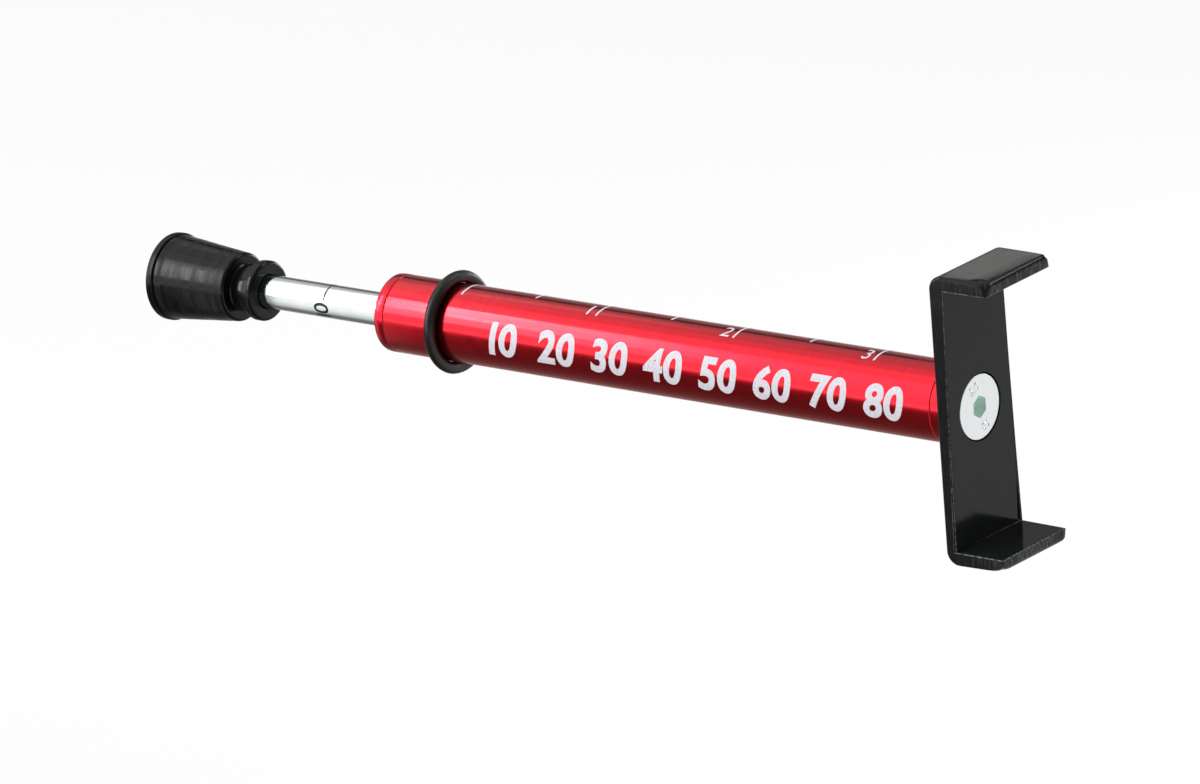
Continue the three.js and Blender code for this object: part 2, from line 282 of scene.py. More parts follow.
def new_group(name, inputs, outputs):
    """An empty node group with number inputs and outputs, and its two end nodes."""
    tree = bpy.data.node_groups.new(name, "ShaderNodeTree")
    number = "NodeSocketFloat"
    for label, value in inputs.items():
        socket = tree.interface.new_socket(name=label, in_out="INPUT", socket_type=number)
        socket.default_value = value
    for label in outputs:
        tree.interface.new_socket(name=label, in_out="OUTPUT", socket_type=number)
    return tree, node(tree, "NodeGroupInput"), node(tree, "NodeGroupOutput")


def use_group(tree, group, **values):
    """Places a group in a material with its own values."""
    made = node(tree, "ShaderNodeGroup", node_tree=group)
    for label, value in values.items():
        made.inputs[label.replace("_", " ")].default_value = value
    return made.outputs


def object_place(tree):
    """The place on the object, in its own metres, as an output to link."""
    return node(tree, "ShaderNodeTexCoord").outputs["Object"]


def drawn_out(tree, scale):
    """Noise with a scale of its own along x, y and z, for drawn or torn metal."""
    sockets = {"Vector": object_place(tree), "Scale": scale}
    stretch = node(tree, "ShaderNodeMapping", sockets).outputs[0]
    noise = node(tree, "ShaderNodeTexNoise", {"Vector": stretch, "Scale": 1.0, "Detail": 3.0})
    return noise.outputs["Fac"]


def new_material(name, **values):
    """A material whose shader has these constant values on its own sockets."""
    material = bpy.data.materials.new(name)
    material.use_nodes = True
    shader = material.node_tree.nodes["Principled BSDF"]
    for label, value in values.items():
        shader.inputs[label.replace("_", " ")].default_value = value
    print("finish:", name)
    return material, material.node_tree, shader


def feed(tree, shader, **links):
    """Links an output to each of the shader's sockets that is named."""
    for label, output in links.items():
        tree.links.new(output, shader.inputs[label.replace("_", " ")])


def dress(piece, *materials):
    """Gives a piece its materials."""
    piece.data.materials.clear()
    for material in materials:
        piece.data.materials.append(material)


# %% [markdown]
# Turning leaves rings: along the barrel they follow x, and across an end face they follow
# the radius. The sum of both is a coordinate that steps across the rings on either, so one
# group serves every turned face. Grain is a plain noise in a size given in millimetres.

# %% Groups for rings and grain


def build_rings():
    """Rings around the axis: a fine height, and a slower tone."""
    tree, inputs, outputs = new_group(
        "lathe rings", {"Rings per mm": 6.0, "Breakup": 0.02}, ["Height", "Tone"]
    )
    parts = node(tree, "ShaderNodeSeparateXYZ", {0: object_place(tree)}).outputs
    across = node(tree, "ShaderNodeCombineXYZ", {"Y": parts["Y"], "Z": parts["Z"]}).outputs[0]
    radius = node(tree, "ShaderNodeVectorMath", {0: across}, operation="LENGTH").outputs["Value"]
    step = maths(tree, "MULTIPLY", maths(tree, "ADD", parts["X"], radius), 1 / MM)
    fine = maths(tree, "MULTIPLY", step, inputs.outputs["Rings per mm"])
    slow = maths(tree, "MULTIPLY", fine, 0.23)
    turn = maths(tree, "MULTIPLY", inputs.outputs["Breakup"], 1 / MM)
    side = maths(tree, "MULTIPLY", parts["Y"], turn)
    height = maths(tree, "MULTIPLY", parts["Z"], turn)
    for label, along in (("Height", fine), ("Tone", slow)):
        point = node(tree, "ShaderNodeCombineXYZ", {"X": along, "Y": side, "Z": height}).outputs[0]
        noise = node(tree, "ShaderNodeTexNoise", {"Vector": point, "Scale": 1.0, "Detail": 2.0})
        tree.links.new(noise.outputs["Fac"], outputs.inputs[label])
    return tree


def build_grain():
    """Grain of a given size, from 0 to 1."""
    tree, inputs, outputs = new_group("grain", {"Size in mm": 0.5, "Detail": 3.0}, ["Value"])
    scale = maths(tree, "DIVIDE", 1 / MM, inputs.outputs["Size in mm"])
    sockets = {"Vector": object_place(tree), "Scale": scale, "Detail": inputs.outputs["Detail"]}
    noise = node(tree, "ShaderNodeTexNoise", sockets)
    tree.links.new(noise.outputs["Fac"], outputs.inputs["Value"])
    return tree


def grain_of(tree, size, detail):
    """Grain of a size in millimetres, as an output to link."""
    return use_group(tree, grain, Size_in_mm=size, Detail=detail)["Value"]


rings = build_rings()
grain = build_grain()
print("groups:", [g.name for g in bpy.data.node_groups])

# %% [markdown]
# ## The red anodised finish
# Anodised aluminium is metal seen through a thin clear dyed layer. The metal itself is
# tinted, and a coat gives the paler reflection on top and along the edges. Lathe rings
# tilt the normal only along x, so that highlights spread along the barrel and stay sharp
# around it.

# %% Red anodised aluminium


def red_anodised():
    material, tree, shader = new_material(
        "red_anodised", Metallic=1.0, Coat_Weight=0.34, Coat_Roughness=0.11, Coat_IOR=1.5
    )
    lines = use_group(tree, rings, Rings_per_mm=5.0, Breakup=0.03)
    tone = remap(tree, lines["Tone"], 0.3, 0.7, 0.0, 1.0)
    deep = (0.57, 0.0045, 0.016, 1.0)
    bright = (0.62, 0.0070, 0.021, 1.0)
    feed(
        tree, shader,
        Base_Color=blend_colours(tree, tone, deep, bright),
        Roughness=remap(tree, grain_of(tree, 2.5, 2.0), 0.3, 0.7, 0.17, 0.24),
        Normal=bump(tree, lines["Height"], 0.0007 * MM),
    )
    return material


RED = red_anodised()

# %% [markdown]
# ## The barrel, cap and plug
# The barrel is a length of tube with both edges broken. The guide cap and the plug are
# pressed in from the ends, and each has a short flange of the barrel's own diameter. The
# broken edges meet in a small groove, which is the fine seam line at either end.

# %% Model the barrel and its two ends
BARREL_WALL = 1.0 * MM
EDGE_BREAK = 0.16 * MM
SPIGOT_GAP = 0.04 * MM
SLIDE_GAP = 0.06 * MM
bore_radius = barrel_radius - BARREL_WALL
spigot_radius = bore_radius - SPIGOT_GAP
guide_radius = rod_radius + SLIDE_GAP


def barrel_stations():
    front = arc(barrel_front + EDGE_BREAK, barrel_radius - EDGE_BREAK, EDGE_BREAK, 180, 90, 4)
    rear = arc(barrel_rear - EDGE_BREAK, barrel_radius - EDGE_BREAK, EDGE_BREAK, 90, 0, 4)
    bore = [(barrel_rear, bore_radius), (barrel_front, bore_radius)]
    return [*front, *rear, *bore, front[0]]


def cap_stations():
    rounding = 0.3 * MM
    mouth = 0.35 * MM
    front = arc(cap_face + rounding, barrel_radius - rounding, rounding, 180, 90, 8)
    back = arc(barrel_front - EDGE_BREAK, barrel_radius - EDGE_BREAK, EDGE_BREAK, 90, 0, 4)
    spigot = [
        (barrel_front, spigot_radius),
        (cap_inner - mouth, spigot_radius),
        (cap_inner, spigot_radius - mouth),
        (cap_inner, guide_radius),
    ]
    bore = arc(cap_face + mouth, guide_radius + mouth, mouth, -90, -180, 6)
    return [*front, *back, *spigot, *bore, front[0]]


def plug_stations():
    rounding = 0.4 * MM
    tapped = 2.5 * MM
    mouth = 3.38 * MM
    front = arc(barrel_rear + EDGE_BREAK, barrel_radius - EDGE_BREAK, EDGE_BREAK, 180, 90, 4)
    rear = arc(cradle_back - EDGE_BREAK, barrel_radius - EDGE_BREAK, EDGE_BREAK, 90, 0, 4)
    return [
        *front,
        *rear,
        (cradle_back, mouth),
        (cradle_back - (mouth - tapped), tapped),
        (plug_inner + rounding, tapped),
        (plug_inner, tapped + rounding),
        (plug_inner, spigot_radius - rounding),
        (plug_inner + rounding, spigot_radius),
        (barrel_rear, spigot_radius),
        front[0],
    ]


barrel = turned("barrel_turned", barrel_stations(), hollow=True)
cap = turned("guide_cap_turned", cap_stations(), hollow=True)
plug = turned("plug_turned", plug_stations(), hollow=True)
for piece, solid in ((barrel, "barrel_tube"), (cap, "front_guide_cap"), (plug, "rear_plug")):
    dress(piece, RED)
    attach(piece, "barrel")
    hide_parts(solid)

# %% [markdown]
# ## The plunger rod
# The rod is drawn steel with bright zinc on it. Drawing leaves faint lines along the
# axis, and plating softens them, so its bump is long in x and fine around the rod.

# %% Bright zinc


def bright_zinc():
    material, tree, shader = new_material("bright_zinc", Metallic=1.0)
    drawn = drawn_out(tree, (40.0, 2600.0, 2600.0))
    tint = remap(tree, grain_of(tree, 3.0, 3.0), 0.35, 0.7, 0.0, 1.0)
    cool = (0.58, 0.63, 0.62, 1.0)
    warm = (0.68, 0.70, 0.69, 1.0)
    feed(
        tree, shader,
        Base_Color=blend_colours(tree, tint, cool, warm),
        Roughness=remap(tree, drawn, 0.3, 0.7, 0.06, 0.12),
        Normal=bump(tree, drawn, 0.0015 * MM),
    )
    return material


BRIGHT_ZINC = bright_zinc()

# %% [markdown]
# The rod has a groove in each end: the stopper's rubber grips in the outer one, and the clip
# snaps into the inner one. Behind the clip a thinner pilot keeps the spring straight. All of
# it is turned, so one list of stations holds the whole rod.

# %% Model the rod


def rod_stations():
    break_size = 0.4 * MM
    grip_start, grip_end = rod_outer + 3.0 * MM, rod_outer + 4.2 * MM
    grip_radius = rod_radius - 0.35 * MM
    clip_gap, clip_radius = 0.05 * MM, rod_radius - 0.5 * MM
    pilot_radius = 2.4 * MM
    return [
        *arc(rod_outer + break_size, rod_radius - break_size, break_size, 180, 90),
        (grip_start, rod_radius),
        (grip_start, grip_radius),
        (grip_end, grip_radius),
        (grip_end, rod_radius),
        (clip_front - clip_gap, rod_radius),
        (clip_front - clip_gap, clip_radius),
        (washer_front + clip_gap, clip_radius),
        (washer_front + clip_gap, rod_radius),
        (spring_front, rod_radius),
        (spring_front, pilot_radius),
        *arc(rod_inner - break_size, pilot_radius - break_size, break_size, 90, 0),
    ]


rod = turned("rod_turned", rod_stations(), sides=96)
dress(rod, BRIGHT_ZINC)
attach(rod, "plunger")
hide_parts("plunger_rod")

# %% [markdown]
# ## Clip, washer and spring
# These three sit inside the barrel and show only when it is opened. The washer is turned.
# The clip is a turned ring with its mouth cut out. The spring is a curve with a round
# bevel, because a curve's tube keeps its thickness however steep the coil climbs.

# %% Plain steel finishes


def plated_steel(name, cool, warm, rough_low, rough_high, grain_size):
    """Plated or drawn steel: two tints mixed by grain, with a fine bump."""
    material, tree, shader = new_material(name, Metallic=1.0)
    fine = grain_of(tree, grain_size, 4.0)
    tint = remap(tree, grain_of(tree, grain_size * 7, 2.0), 0.3, 0.7, 0.0, 1.0)
    feed(
        tree, shader,
        Base_Color=blend_colours(tree, tint, cool, warm),
        Roughness=remap(tree, fine, 0.3, 0.7, rough_low, rough_high),
        Normal=bump(tree, fine, 0.006 * MM),
    )
    return material


WHITE_ZINC = plated_steel(
    "white_zinc", (0.74, 0.79, 0.77, 1), (0.84, 0.86, 0.85, 1), 0.3, 0.42, 0.22
)
SPRING_STEEL = plated_steel(
    "spring_steel", (0.34, 0.35, 0.37, 1), (0.46, 0.47, 0.49, 1), 0.25, 0.4, 0.3
)

# %% [markdown]
# Washer and clip are both flat rings with softened outer edges, as a stamping tool leaves
# them. They could be cut from a plate, but a turned ring gives the same edges in one step.

# %% Model the washer and the clip


def ring_stations(start, end, inner, outer, rounding):
    """A flat ring with rounded outer edges."""
    first = arc(start + rounding, outer - rounding, rounding, 180, 90, 3)
    second = arc(end - rounding, outer - rounding, rounding, 90, 0, 3)
    return [*first, *second, (end, inner), (start, inner), first[0]]


washer = turned(
    "washer_turned",
    ring_stations(washer_front, spring_front, guide_radius, washer_radius, 0.15 * MM),
    sides=96,
    hollow=True,
)
dress(washer, WHITE_ZINC)
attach(washer, "spring_follower")
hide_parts("thrust_washer")

clip_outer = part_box("retaining_clip")[1].z
clip_inner = rod_radius - 0.46 * MM
clip = turned(
    "clip_stamped",
    ring_stations(clip_front, washer_front, clip_inner, clip_outer, 0.08 * MM),
    sides=96,
    hollow=True,
)

# %% [markdown]
# A C clip is pushed on from the side, so it needs a mouth. A wedge from the axis cuts it, and
# both ends of the C then point at the middle, as on a stamped clip.

# %% Cut the clip's mouth
MOUTH_SHARE = 0.16


def mouth_cutter():
    """A wedge from the axis towards the camera's side, past both faces of the clip."""
    reach = 6.0 * MM
    half = reach * math.tan(math.pi * MOUTH_SHARE)
    middle = (clip_front + washer_front) / 2
    start_clean()
    bpy.ops.mesh.primitive_cube_add(
        size=1,
        location=(middle, -reach / 2, 0),
        scale=(3 * (washer_front - clip_front), reach, 2 * half),
    )
    wedge = named("mouth_cutter")
    edit()
    pick(wedge, "FACE", lambda f: f.normal.y > 0.9)
    bpy.ops.transform.resize(value=(1, 1, 0.001), center_override=(middle, 0, 0))
    start_clean()
    return wedge


def cut_away(piece, cutter):
    """Cuts one solid from another, and removes the cutter."""
    apply_modifier(piece, "BOOLEAN", operation="DIFFERENCE", object=cutter, solver="EXACT")
    bpy.data.objects.remove(cutter)


cut_away(clip, mouth_cutter())
smooth(clip)
report(clip)
dress(clip, SPRING_STEEL)
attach(clip, "plunger")
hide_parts("retaining_clip")

# %% [markdown]
# The spring has one closed turn at each end and an even pitch between, and it presses on
# the plug.

# %% Model the spring
WIRE = 1.4 * MM
ACTIVE_TURNS = 21
END_TURNS = 1
TURN_STEPS = 24
END_TURN_GAP = 0.45 * MM
SEAT_GAP = 0.1 * MM
spring_radius = bore_radius - 0.3 * MM - WIRE / 2


def spring_points():
    """Points of the wire's middle line, from the washer to the plug."""
    start = spring_front + SEAT_GAP + WIRE / 2
    end = plug_inner - SEAT_GAP - WIRE / 2
    turns = ACTIVE_TURNS + 2 * END_TURNS
    end_pitch = WIRE + END_TURN_GAP
    pitch = (end - start - 2 * END_TURNS * end_pitch) / ACTIVE_TURNS
    points = []
    for step in range(turns * TURN_STEPS + 1):
        turn = step / TURN_STEPS
        closed = min(turn, END_TURNS) + max(turn - turns + END_TURNS, 0)
        x = start + end_pitch * closed + pitch * (turn - closed)
        angle = 2 * math.pi * turn
        points.append((x, spring_radius * math.cos(angle), spring_radius * math.sin(angle)))
    return points


def model_spring():
    points = spring_points()
    start_clean()
    bpy.ops.curve.primitive_nurbs_path_add()
    path = bpy.context.object
    path.data.splines.clear()
    line = path.data.splines.new("POLY")
    line.points.add(len(points) - 1)
    for point, place in zip(line.points, points):
        point.co = (*place, 1.0)
    path.data.bevel_depth = WIRE / 2
    path.data.bevel_resolution = 4
    path.data.use_fill_caps = True
    bpy.ops.object.convert(target="MESH")
    piece = named("spring_coiled")
    edit()
    everything()
    bpy.ops.mesh.remove_doubles(threshold=0.001 * MM)
    bpy.ops.mesh.normals_make_consistent(inside=False)
    smooth(piece, 50)
    report(piece)
    return piece


spring = model_spring()
dress(spring, SPRING_STEEL)
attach(spring, "barrel")
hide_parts("compression_spring")
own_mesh(spring)

# %% [markdown]
# ## The belt cradle
# The cradle is a strip of sheet steel, sheared off and bent into a C. It starts here as
# the upright plate. The two flanges are extruded from its ends, and the bends are bevels:
# a large one outside and a small one inside, as a press brake leaves them. Shearing pulls
# the outer edges over and leaves the inner ones sharp, so they get a wide and a narrow
# bevel. The narrow edges are marked in an attribute, because paint is thin there.

# %% Sizes of the strip, and tests for its faces and edges
SHEET = 2.1 * MM
INNER_BEND = 0.5 * MM
OUTER_BEND = 3.8 * MM
ROLLED_EDGE = 0.5 * MM
ROLLED_TIP = 0.7 * MM
SHARP_EDGE = 0.13 * MM
TINY = 0.02 * MM
belt_face = cradle_back + SHEET
cradle_tip = cradle_high.x
cradle_half = cradle_high.y
outer_half = cradle_high.z
inner_half = outer_half - SHEET
print(f"strip {SHEET / MM:.1f} mm thick, {2 * cradle_half / MM:.1f} mm wide,",
      f"{2 * inner_half / MM:.1f} mm inside the flanges")


def outward(face):
    """True for a face on the outer skin of the C."""
    middle = face.calc_center_median()
    return face.normal.x < -0.1 or face.normal.z * math.copysign(1, middle.z) > 0.1


def sheared(face):
    """True for the flat sheared sides and tips."""
    middle = face.calc_center_median()
    return abs(face.normal.y) > 0.99 or (face.normal.x > 0.99 and middle.x > cradle_tip - TINY)


def inward(face):
    """True for a face on the belt's side of the C."""
    return not sheared(face) and not outward(face)


def at_tip(edge):
    return all(v.co.x > cradle_tip - TINY for v in edge.verts)


def joins(edge, *tests):
    """True if an edge lies between two faces that pass one test each."""
    if len(edge.link_faces) != 2:
        return False
    a, b = edge.link_faces
    first, second = tests
    return (first(a) and second(b)) or (first(b) and second(a))


# %% [markdown]
# The upright plate is cut across where the flanges begin. The faces above and below the cuts
# are picked by the way they look, and pulled out to the tips. The two bevels come last,
# because a bevel needs the whole corner to be there.

# %% Model the bent strip


def bevel(width, segments):
    bpy.ops.mesh.bevel(offset=width, offset_type="OFFSET", segments=segments, affect="EDGES")


def model_cradle():
    start_clean()
    bpy.ops.mesh.primitive_cube_add(
        size=1,
        location=(cradle_back + SHEET / 2, 0, 0),
        scale=(SHEET, 2 * cradle_half, 2 * outer_half),
    )
    piece = named("cradle_bent")
    edit()
    for height in (-inner_half, inner_half):
        everything()
        bpy.ops.mesh.bisect(plane_co=(0, 0, height), plane_no=(0, 0, 1))
    for side in (-1, 1):
        pick(
            piece,
            "FACE",
            lambda f: f.normal.x > 0.9 and side * f.calc_center_median().z > inner_half,
        )
        extrude(x=cradle_tip - belt_face)
    for corner_x, corner_z, size, steps in (
        (cradle_back, outer_half, OUTER_BEND, 16),
        (belt_face, inner_half, INNER_BEND, 5),
    ):
        pick(
            piece,
            "EDGE",
            lambda e: all(
                abs(v.co.x - corner_x) < TINY and abs(abs(v.co.z) - corner_z) < TINY
                for v in e.verts
            ),
        )
        bevel(size, steps)
    start_clean()
    return piece


cradle = model_cradle()
report(cradle)

# %% [markdown]
# The hole for the screw is cut before the edges are rolled, while the strip still has few
# faces. The cutter is itself a turned piece: a drilled hole that opens into a cone.

# %% Cut the countersunk hole and finish the edges
HEAD_GAP = 0.20 * MM
HEAD_RIM = 0.25 * MM
hole_radius = 2.5 * MM
cone_start = screw_face - HEAD_RIM
cone_radius = screw_head_radius + HEAD_GAP


def hole_cutter():
    narrow_x = cone_start - (cone_radius - hole_radius)
    return turned(
        "hole_cutter",
        [
            (narrow_x - SHEET, hole_radius),
            (narrow_x, hole_radius),
            (cone_start, cone_radius),
            (belt_face + SHEET, cone_radius),
        ],
        sides=128,
    )


cut_away(cradle, hole_cutter())
hold(cradle)
edit()
edges = pick(cradle, "EDGE", lambda e: joins(e, sheared, outward) and at_tip(e))
bevel(ROLLED_TIP, 8)
print("tip edges rolled:", edges)
edges = pick(cradle, "EDGE", lambda e: joins(e, sheared, outward) and not at_tip(e))
bevel(ROLLED_EDGE, 5)
print("side edges rolled:", edges)
edges = pick(cradle, "EDGE", lambda e: joins(e, sheared, inward))
bevel(SHARP_EDGE, 2)
print("inner edges broken:", edges)

# %% [markdown]
# A shear presses on the strip before it cuts. That rolls the skin down towards each tip,
# most at the corners, where it also draws the outline in. The blade enters on the camera's
# side, so the far corners stay nearly square. The flanges are first cut into narrow strips
# with bisect, and their points are then moved by a smooth falloff that is full on the
# outer skin and nothing on the inner one.

# %% Roll the flanges' skin down at the tips
TIP_REACH, TIP_DROP = 3.4 * MM, 0.34 * MM
SIDE_REACH, SIDE_DROP = 2.0 * MM, 0.16 * MM
CORNER_ROUND = 2.2 * MM
FAR_ROLL = 0.3
FAR_CORNER = 0.8 * MM
flat_start = cradle_back + OUTER_BEND


def on_flange(face):
    return face.calc_center_median().x > flat_start - TINY


def cut_flanges():
    """Cuts both flanges across and along, closer together towards the edges."""
    hold(cradle)
    edit()
    for share in (0.08, 0.18, 0.3, 0.45, 0.62, 0.8, 1.0):
        planes = [((cradle_tip - share * TIP_REACH, 0, 0), (1, 0, 0))]
        for side in (-1, 1):
            planes.append(((0, side * (cradle_half - share * CORNER_ROUND), 0), (0, 1, 0)))
        for place, direction in planes:
            pick(cradle, "FACE", on_flange)
            bpy.ops.mesh.bisect(plane_co=place, plane_no=direction)
    start_clean()


def rounded_corner(from_tip, from_side, size):
    """Moves a point near a square corner so that the corner becomes a quarter circle."""
    across, along = size - from_tip, size - from_side
    if across <= 0 or along <= 0:
        return from_tip, from_side
    share = max(across, along) / math.hypot(across, along)
    return size - across * share, size - along * share


def roll_skin():
    for vertex in cradle.data.vertices:
        x, y, z = vertex.co
        skin = min(max((abs(z) - inner_half) / SHEET, 0.0), 1.0)
        fade = min(max((x - flat_start) / TIP_REACH, 0.0), 1.0)
        from_tip, from_side = cradle_tip - x, cradle_half - abs(y)
        roll = 1 - (1 - FAR_ROLL) * (0.5 + y / (2 * cradle_half))
        corner = FAR_CORNER if y > 0 else CORNER_ROUND
        drop = roll * TIP_DROP * max(1 - from_tip / TIP_REACH, 0) ** 2
        drop += roll * SIDE_DROP * fade * max(1 - from_side / SIDE_REACH, 0) ** 2
        from_tip, from_side = rounded_corner(from_tip, from_side, corner * skin**2)
        vertex.co.x = cradle_tip - from_tip
        vertex.co.y = math.copysign(cradle_half - from_side, y)
        vertex.co.z = math.copysign(abs(z) - skin * drop, z)


cut_flanges()
roll_skin()
print("points after the roll:", len(cradle.data.vertices))

# %% [markdown]
# Two attributes carry what the paint does. One marks the narrow inner edges, where it wears
# through first, and a little of the inner bends, as a painted highlight. The other says how
# torn the sheared faces are, most at the tips; their pale streaks are partly torn metal and
# partly a painted sheen. Both are kept per face, so that they stop at its edges.

# %% Mark the worn edges, the torn faces and the painted highlights
TIP_TEAR_AND_SHEEN, FLANGE_TEAR_AND_SHEEN, WEB_TEAR_AND_SHEEN = 1.0, 0.3, 0.06
BEND_HIGHLIGHT = 0.45


def wear(face):
    """Paleness: the narrow bevel's thin paint most, and a painted highlight on the inner bends."""
    x, y, z = face.center
    bent = min(face.normal.x, abs(face.normal.z)) > 0.25 and abs(face.normal.y) < 0.1
    if bent and x < belt_face + INNER_BEND and abs(z) < inner_half:
        return BEND_HIGHLIGHT
    deep = 1.2 * SHARP_EDGE
    slanted = max(abs(n) for n in face.normal) < 0.99
    by_web = abs(x - belt_face) < deep and abs(z) < inner_half
    by_flange = abs(abs(z) - inner_half) < deep and x > belt_face - deep
    by_side = abs(y) > cradle_half - deep or x > cradle_tip - deep
    return float(slanted and by_side and (by_web or by_flange))


# The pale streaks on the torn faces are partly torn metal and partly a painted sheen, strongest at
# the tips.
def tearing(face):
    if face.normal.x > 0.9 and face.center.x > cradle_tip - 5 * TINY:
        return TIP_TEAR_AND_SHEEN
    if abs(face.normal.y) < 0.97:
        return 0.0
    return FLANGE_TEAR_AND_SHEEN if face.center.x > belt_face else WEB_TEAR_AND_SHEEN


def mark_cradle():
    start_clean()
    mesh = cradle.data
    for label, rule in (("worn_edge_and_bend_highlight", wear), ("torn_face_and_sheen", tearing)):
        marks = mesh.attributes.new(label, "FLOAT", "FACE")
        for face, mark in zip(mesh.polygons, marks.data):
            mark.value = rule(face)
        print(label, "on", sum(mark.value > 0 for mark in marks.data), "faces")


mark_cradle()
smooth(cradle)
report(cradle)

# %% [markdown]
# The paint is a thin gloss black with a little orange peel. Edge wear could come from the
# mesh's pointiness, but that needs a dense mesh and fades in the export, so the paint reads
# the two attributes and breaks them up with grain.

# %% Gloss black paint


def black_paint():
    material, tree, shader = new_material("black_paint", Specular_IOR_Level=0.15)
    worn_and_bend_highlight = node(tree, "ShaderNodeAttribute", attribute_name="worn_edge_and_bend_highlight").outputs["Fac"]
    torn_and_sheen = node(tree, "ShaderNodeAttribute", attribute_name="torn_face_and_sheen").outputs["Fac"]
    chips = grain_of(tree, 0.55, 5.0)
    peel = grain_of(tree, 1.8, 2.0)
    specks = grain_of(tree, 0.22, 1.0)
    tears = drawn_out(tree, (2400.0, 2400.0, 420.0))
    # Paint rubbed through on the narrow edges, and a painted highlight on the inner bends.
    rubbed_and_bend_highlight = maths(tree, "MULTIPLY", worn_and_bend_highlight, remap(tree, chips, 0.42, 0.58, 0.25, 1.0))
    # Pale streaks on the sheared faces: torn metal, and a painted sheen for the light they catch.
    streaks_and_sheen = maths(tree, "MULTIPLY", torn_and_sheen, remap(tree, tears, 0.48, 0.70, 0.0, 0.45))
    dust = remap(tree, specks, 0.80, 0.84, 0.0, 0.25)
    pale = maths(tree, "MAXIMUM", maths(tree, "MAXIMUM", rubbed_and_bend_highlight, streaks_and_sheen), dust)
    black = (0.0105, 0.0115, 0.0120, 1.0)
    grey = (0.21, 0.225, 0.245, 1.0)
    gloss = remap(tree, peel, 0.3, 0.7, 0.10, 0.16)
    torn_height = maths(tree, "MULTIPLY", torn_and_sheen, tears)
    feed(
        tree, shader,
        Base_Color=blend_colours(tree, pale, black, grey),
        Roughness=maths(tree, "ADD", gloss, maths(tree, "MULTIPLY", torn_and_sheen, 0.15)),
        Normal=bump(tree, torn_height, 0.035 * MM, bump(tree, peel, 0.006 * MM)),
    )
    return material


BLACK_PAINT = black_paint()
dress(cradle, BLACK_PAINT)
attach(cradle, "barrel")
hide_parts("belt_cradle")

# %% [markdown]
# ## The screw
# A countersunk screw with a hexagon socket, zinc plated. The blank is turned, and the
# socket is cut with a six-sided drill that ends in a point. Its raised numbers, for the
# thread and the length, are added once there is a helper for numbers.

# %% Model the screw
SOCKET_FLATS = 3.0 * MM
SOCKET_DEPTH = 1.8 * MM
DRILL_POINT = 0.5 * MM
SHANK_RADIUS = 2.45 * MM


def screw_stations():
    rounding = 0.12 * MM
    cone_end = cone_start - (screw_head_radius - SHANK_RADIUS)
    return [
        (screw_end, SHANK_RADIUS - 0.5 * MM),
        (screw_end + 0.5 * MM, SHANK_RADIUS),
        (cone_end, SHANK_RADIUS),
        (cone_start, screw_head_radius),
        *arc(screw_face - rounding, screw_head_radius - rounding, rounding, 90, 0, 4),
    ]


def socket_cutter():
    """A hexagon with a corner up, from past the head's face to the drilled point."""
    corner = SOCKET_FLATS / math.sqrt(3)
    start_clean()
    bpy.ops.mesh.primitive_cylinder_add(
        vertices=6, radius=corner, depth=2 * SOCKET_DEPTH, location=(screw_face, 0, 0),
        rotation=(0, math.pi / 2, 0),
    )
    tool = named("socket_cutter")
    edit()
    bpy.ops.transform.rotate(
        value=math.radians(30), orient_axis="X", center_override=(screw_face, 0, 0)
    )
    pick(tool, "FACE", lambda f: f.normal.x < -0.9)
    extrude(x=-DRILL_POINT)
    centre = (screw_face - SOCKET_DEPTH - DRILL_POINT, 0, 0)
    bpy.ops.transform.resize(value=(1, 0.05, 0.05), center_override=centre)
    start_clean()
    return tool


screw = turned("screw_turned", screw_stations(), sides=128)
cut_away(screw, socket_cutter())
apply_modifier(
    screw, "BEVEL", width=0.04 * MM, segments=2, limit_method="ANGLE",
    angle_limit=math.radians(55),
)
smooth(screw)
report(screw)

# %% [markdown]
# ## The reading ring
# An O-ring comes out of a two-part mould, which leaves a thin line round its outside. The
# torus is shaped by pulling that one loop of points out a little. Its inner half is then
# drawn in until it all but touches the barrel, because the real ring is stretched over it.

# %% Model the ring
ring_section = (ring_high - ring_low) / 2
ring_middle = ring_outer - ring_section
ring_x = (ring_low + ring_high) / 2
FLASH = 0.025 * MM
GRIP_GAP = 0.015 * MM


def model_ring():
    start_clean()
    bpy.ops.mesh.primitive_torus_add(
        major_segments=192, minor_segments=40, major_radius=ring_middle,
        minor_radius=ring_section - FLASH, location=(ring_x, 0, 0), rotation=(0, math.pi / 2, 0),
    )
    piece = named("ring_moulded")
    edit()
    outermost = ring_outer - FLASH - TINY / 10
    pick(piece, "EDGE", lambda e: all(math.hypot(v.co.y, v.co.z) > outermost for v in e.verts))
    grow = ring_outer / (ring_outer - FLASH)
    bpy.ops.transform.resize(value=(1, grow, grow), center_override=(ring_x, 0, 0))
    start_clean()
    reach = (ring_middle - barrel_radius - GRIP_GAP) / (ring_section - FLASH)
    for vertex in piece.data.vertices:
        far = math.hypot(vertex.co.y, vertex.co.z)
        if far < ring_middle:
            share = (ring_middle - (ring_middle - far) * reach) / far
            vertex.co.y, vertex.co.z = vertex.co.y * share, vertex.co.z * share
    smooth(piece, 60)
    report(piece)
    return piece


ring = model_ring()

# %% [markdown]
# ## The rubber stopper
# The stopper is moulded in one piece: a lip round its wide end, a tapered body, a deep
# neck behind the shoulder and a rounded collar that grips the rod. A fine groove under
# the lip and faint steps along the body are left by the mould.

# %% Model the stopper
LIP_LENGTH = 1.3 * MM
SHOULDER_AT = 14.4 * MM
COLLAR_LENGTH = 1.5 * MM
shoulder_x = pad_end + SHOULDER_AT
collar_x = collar_face - COLLAR_LENGTH


def body_radius(x):
    """The taper, from the groove under the lip to the shoulder."""
    wide, narrow = 6.55 * MM, 5.3 * MM
    start = pad_end + LIP_LENGTH
    return wide + (narrow - wide) * (x - start) / (shoulder_x - start)


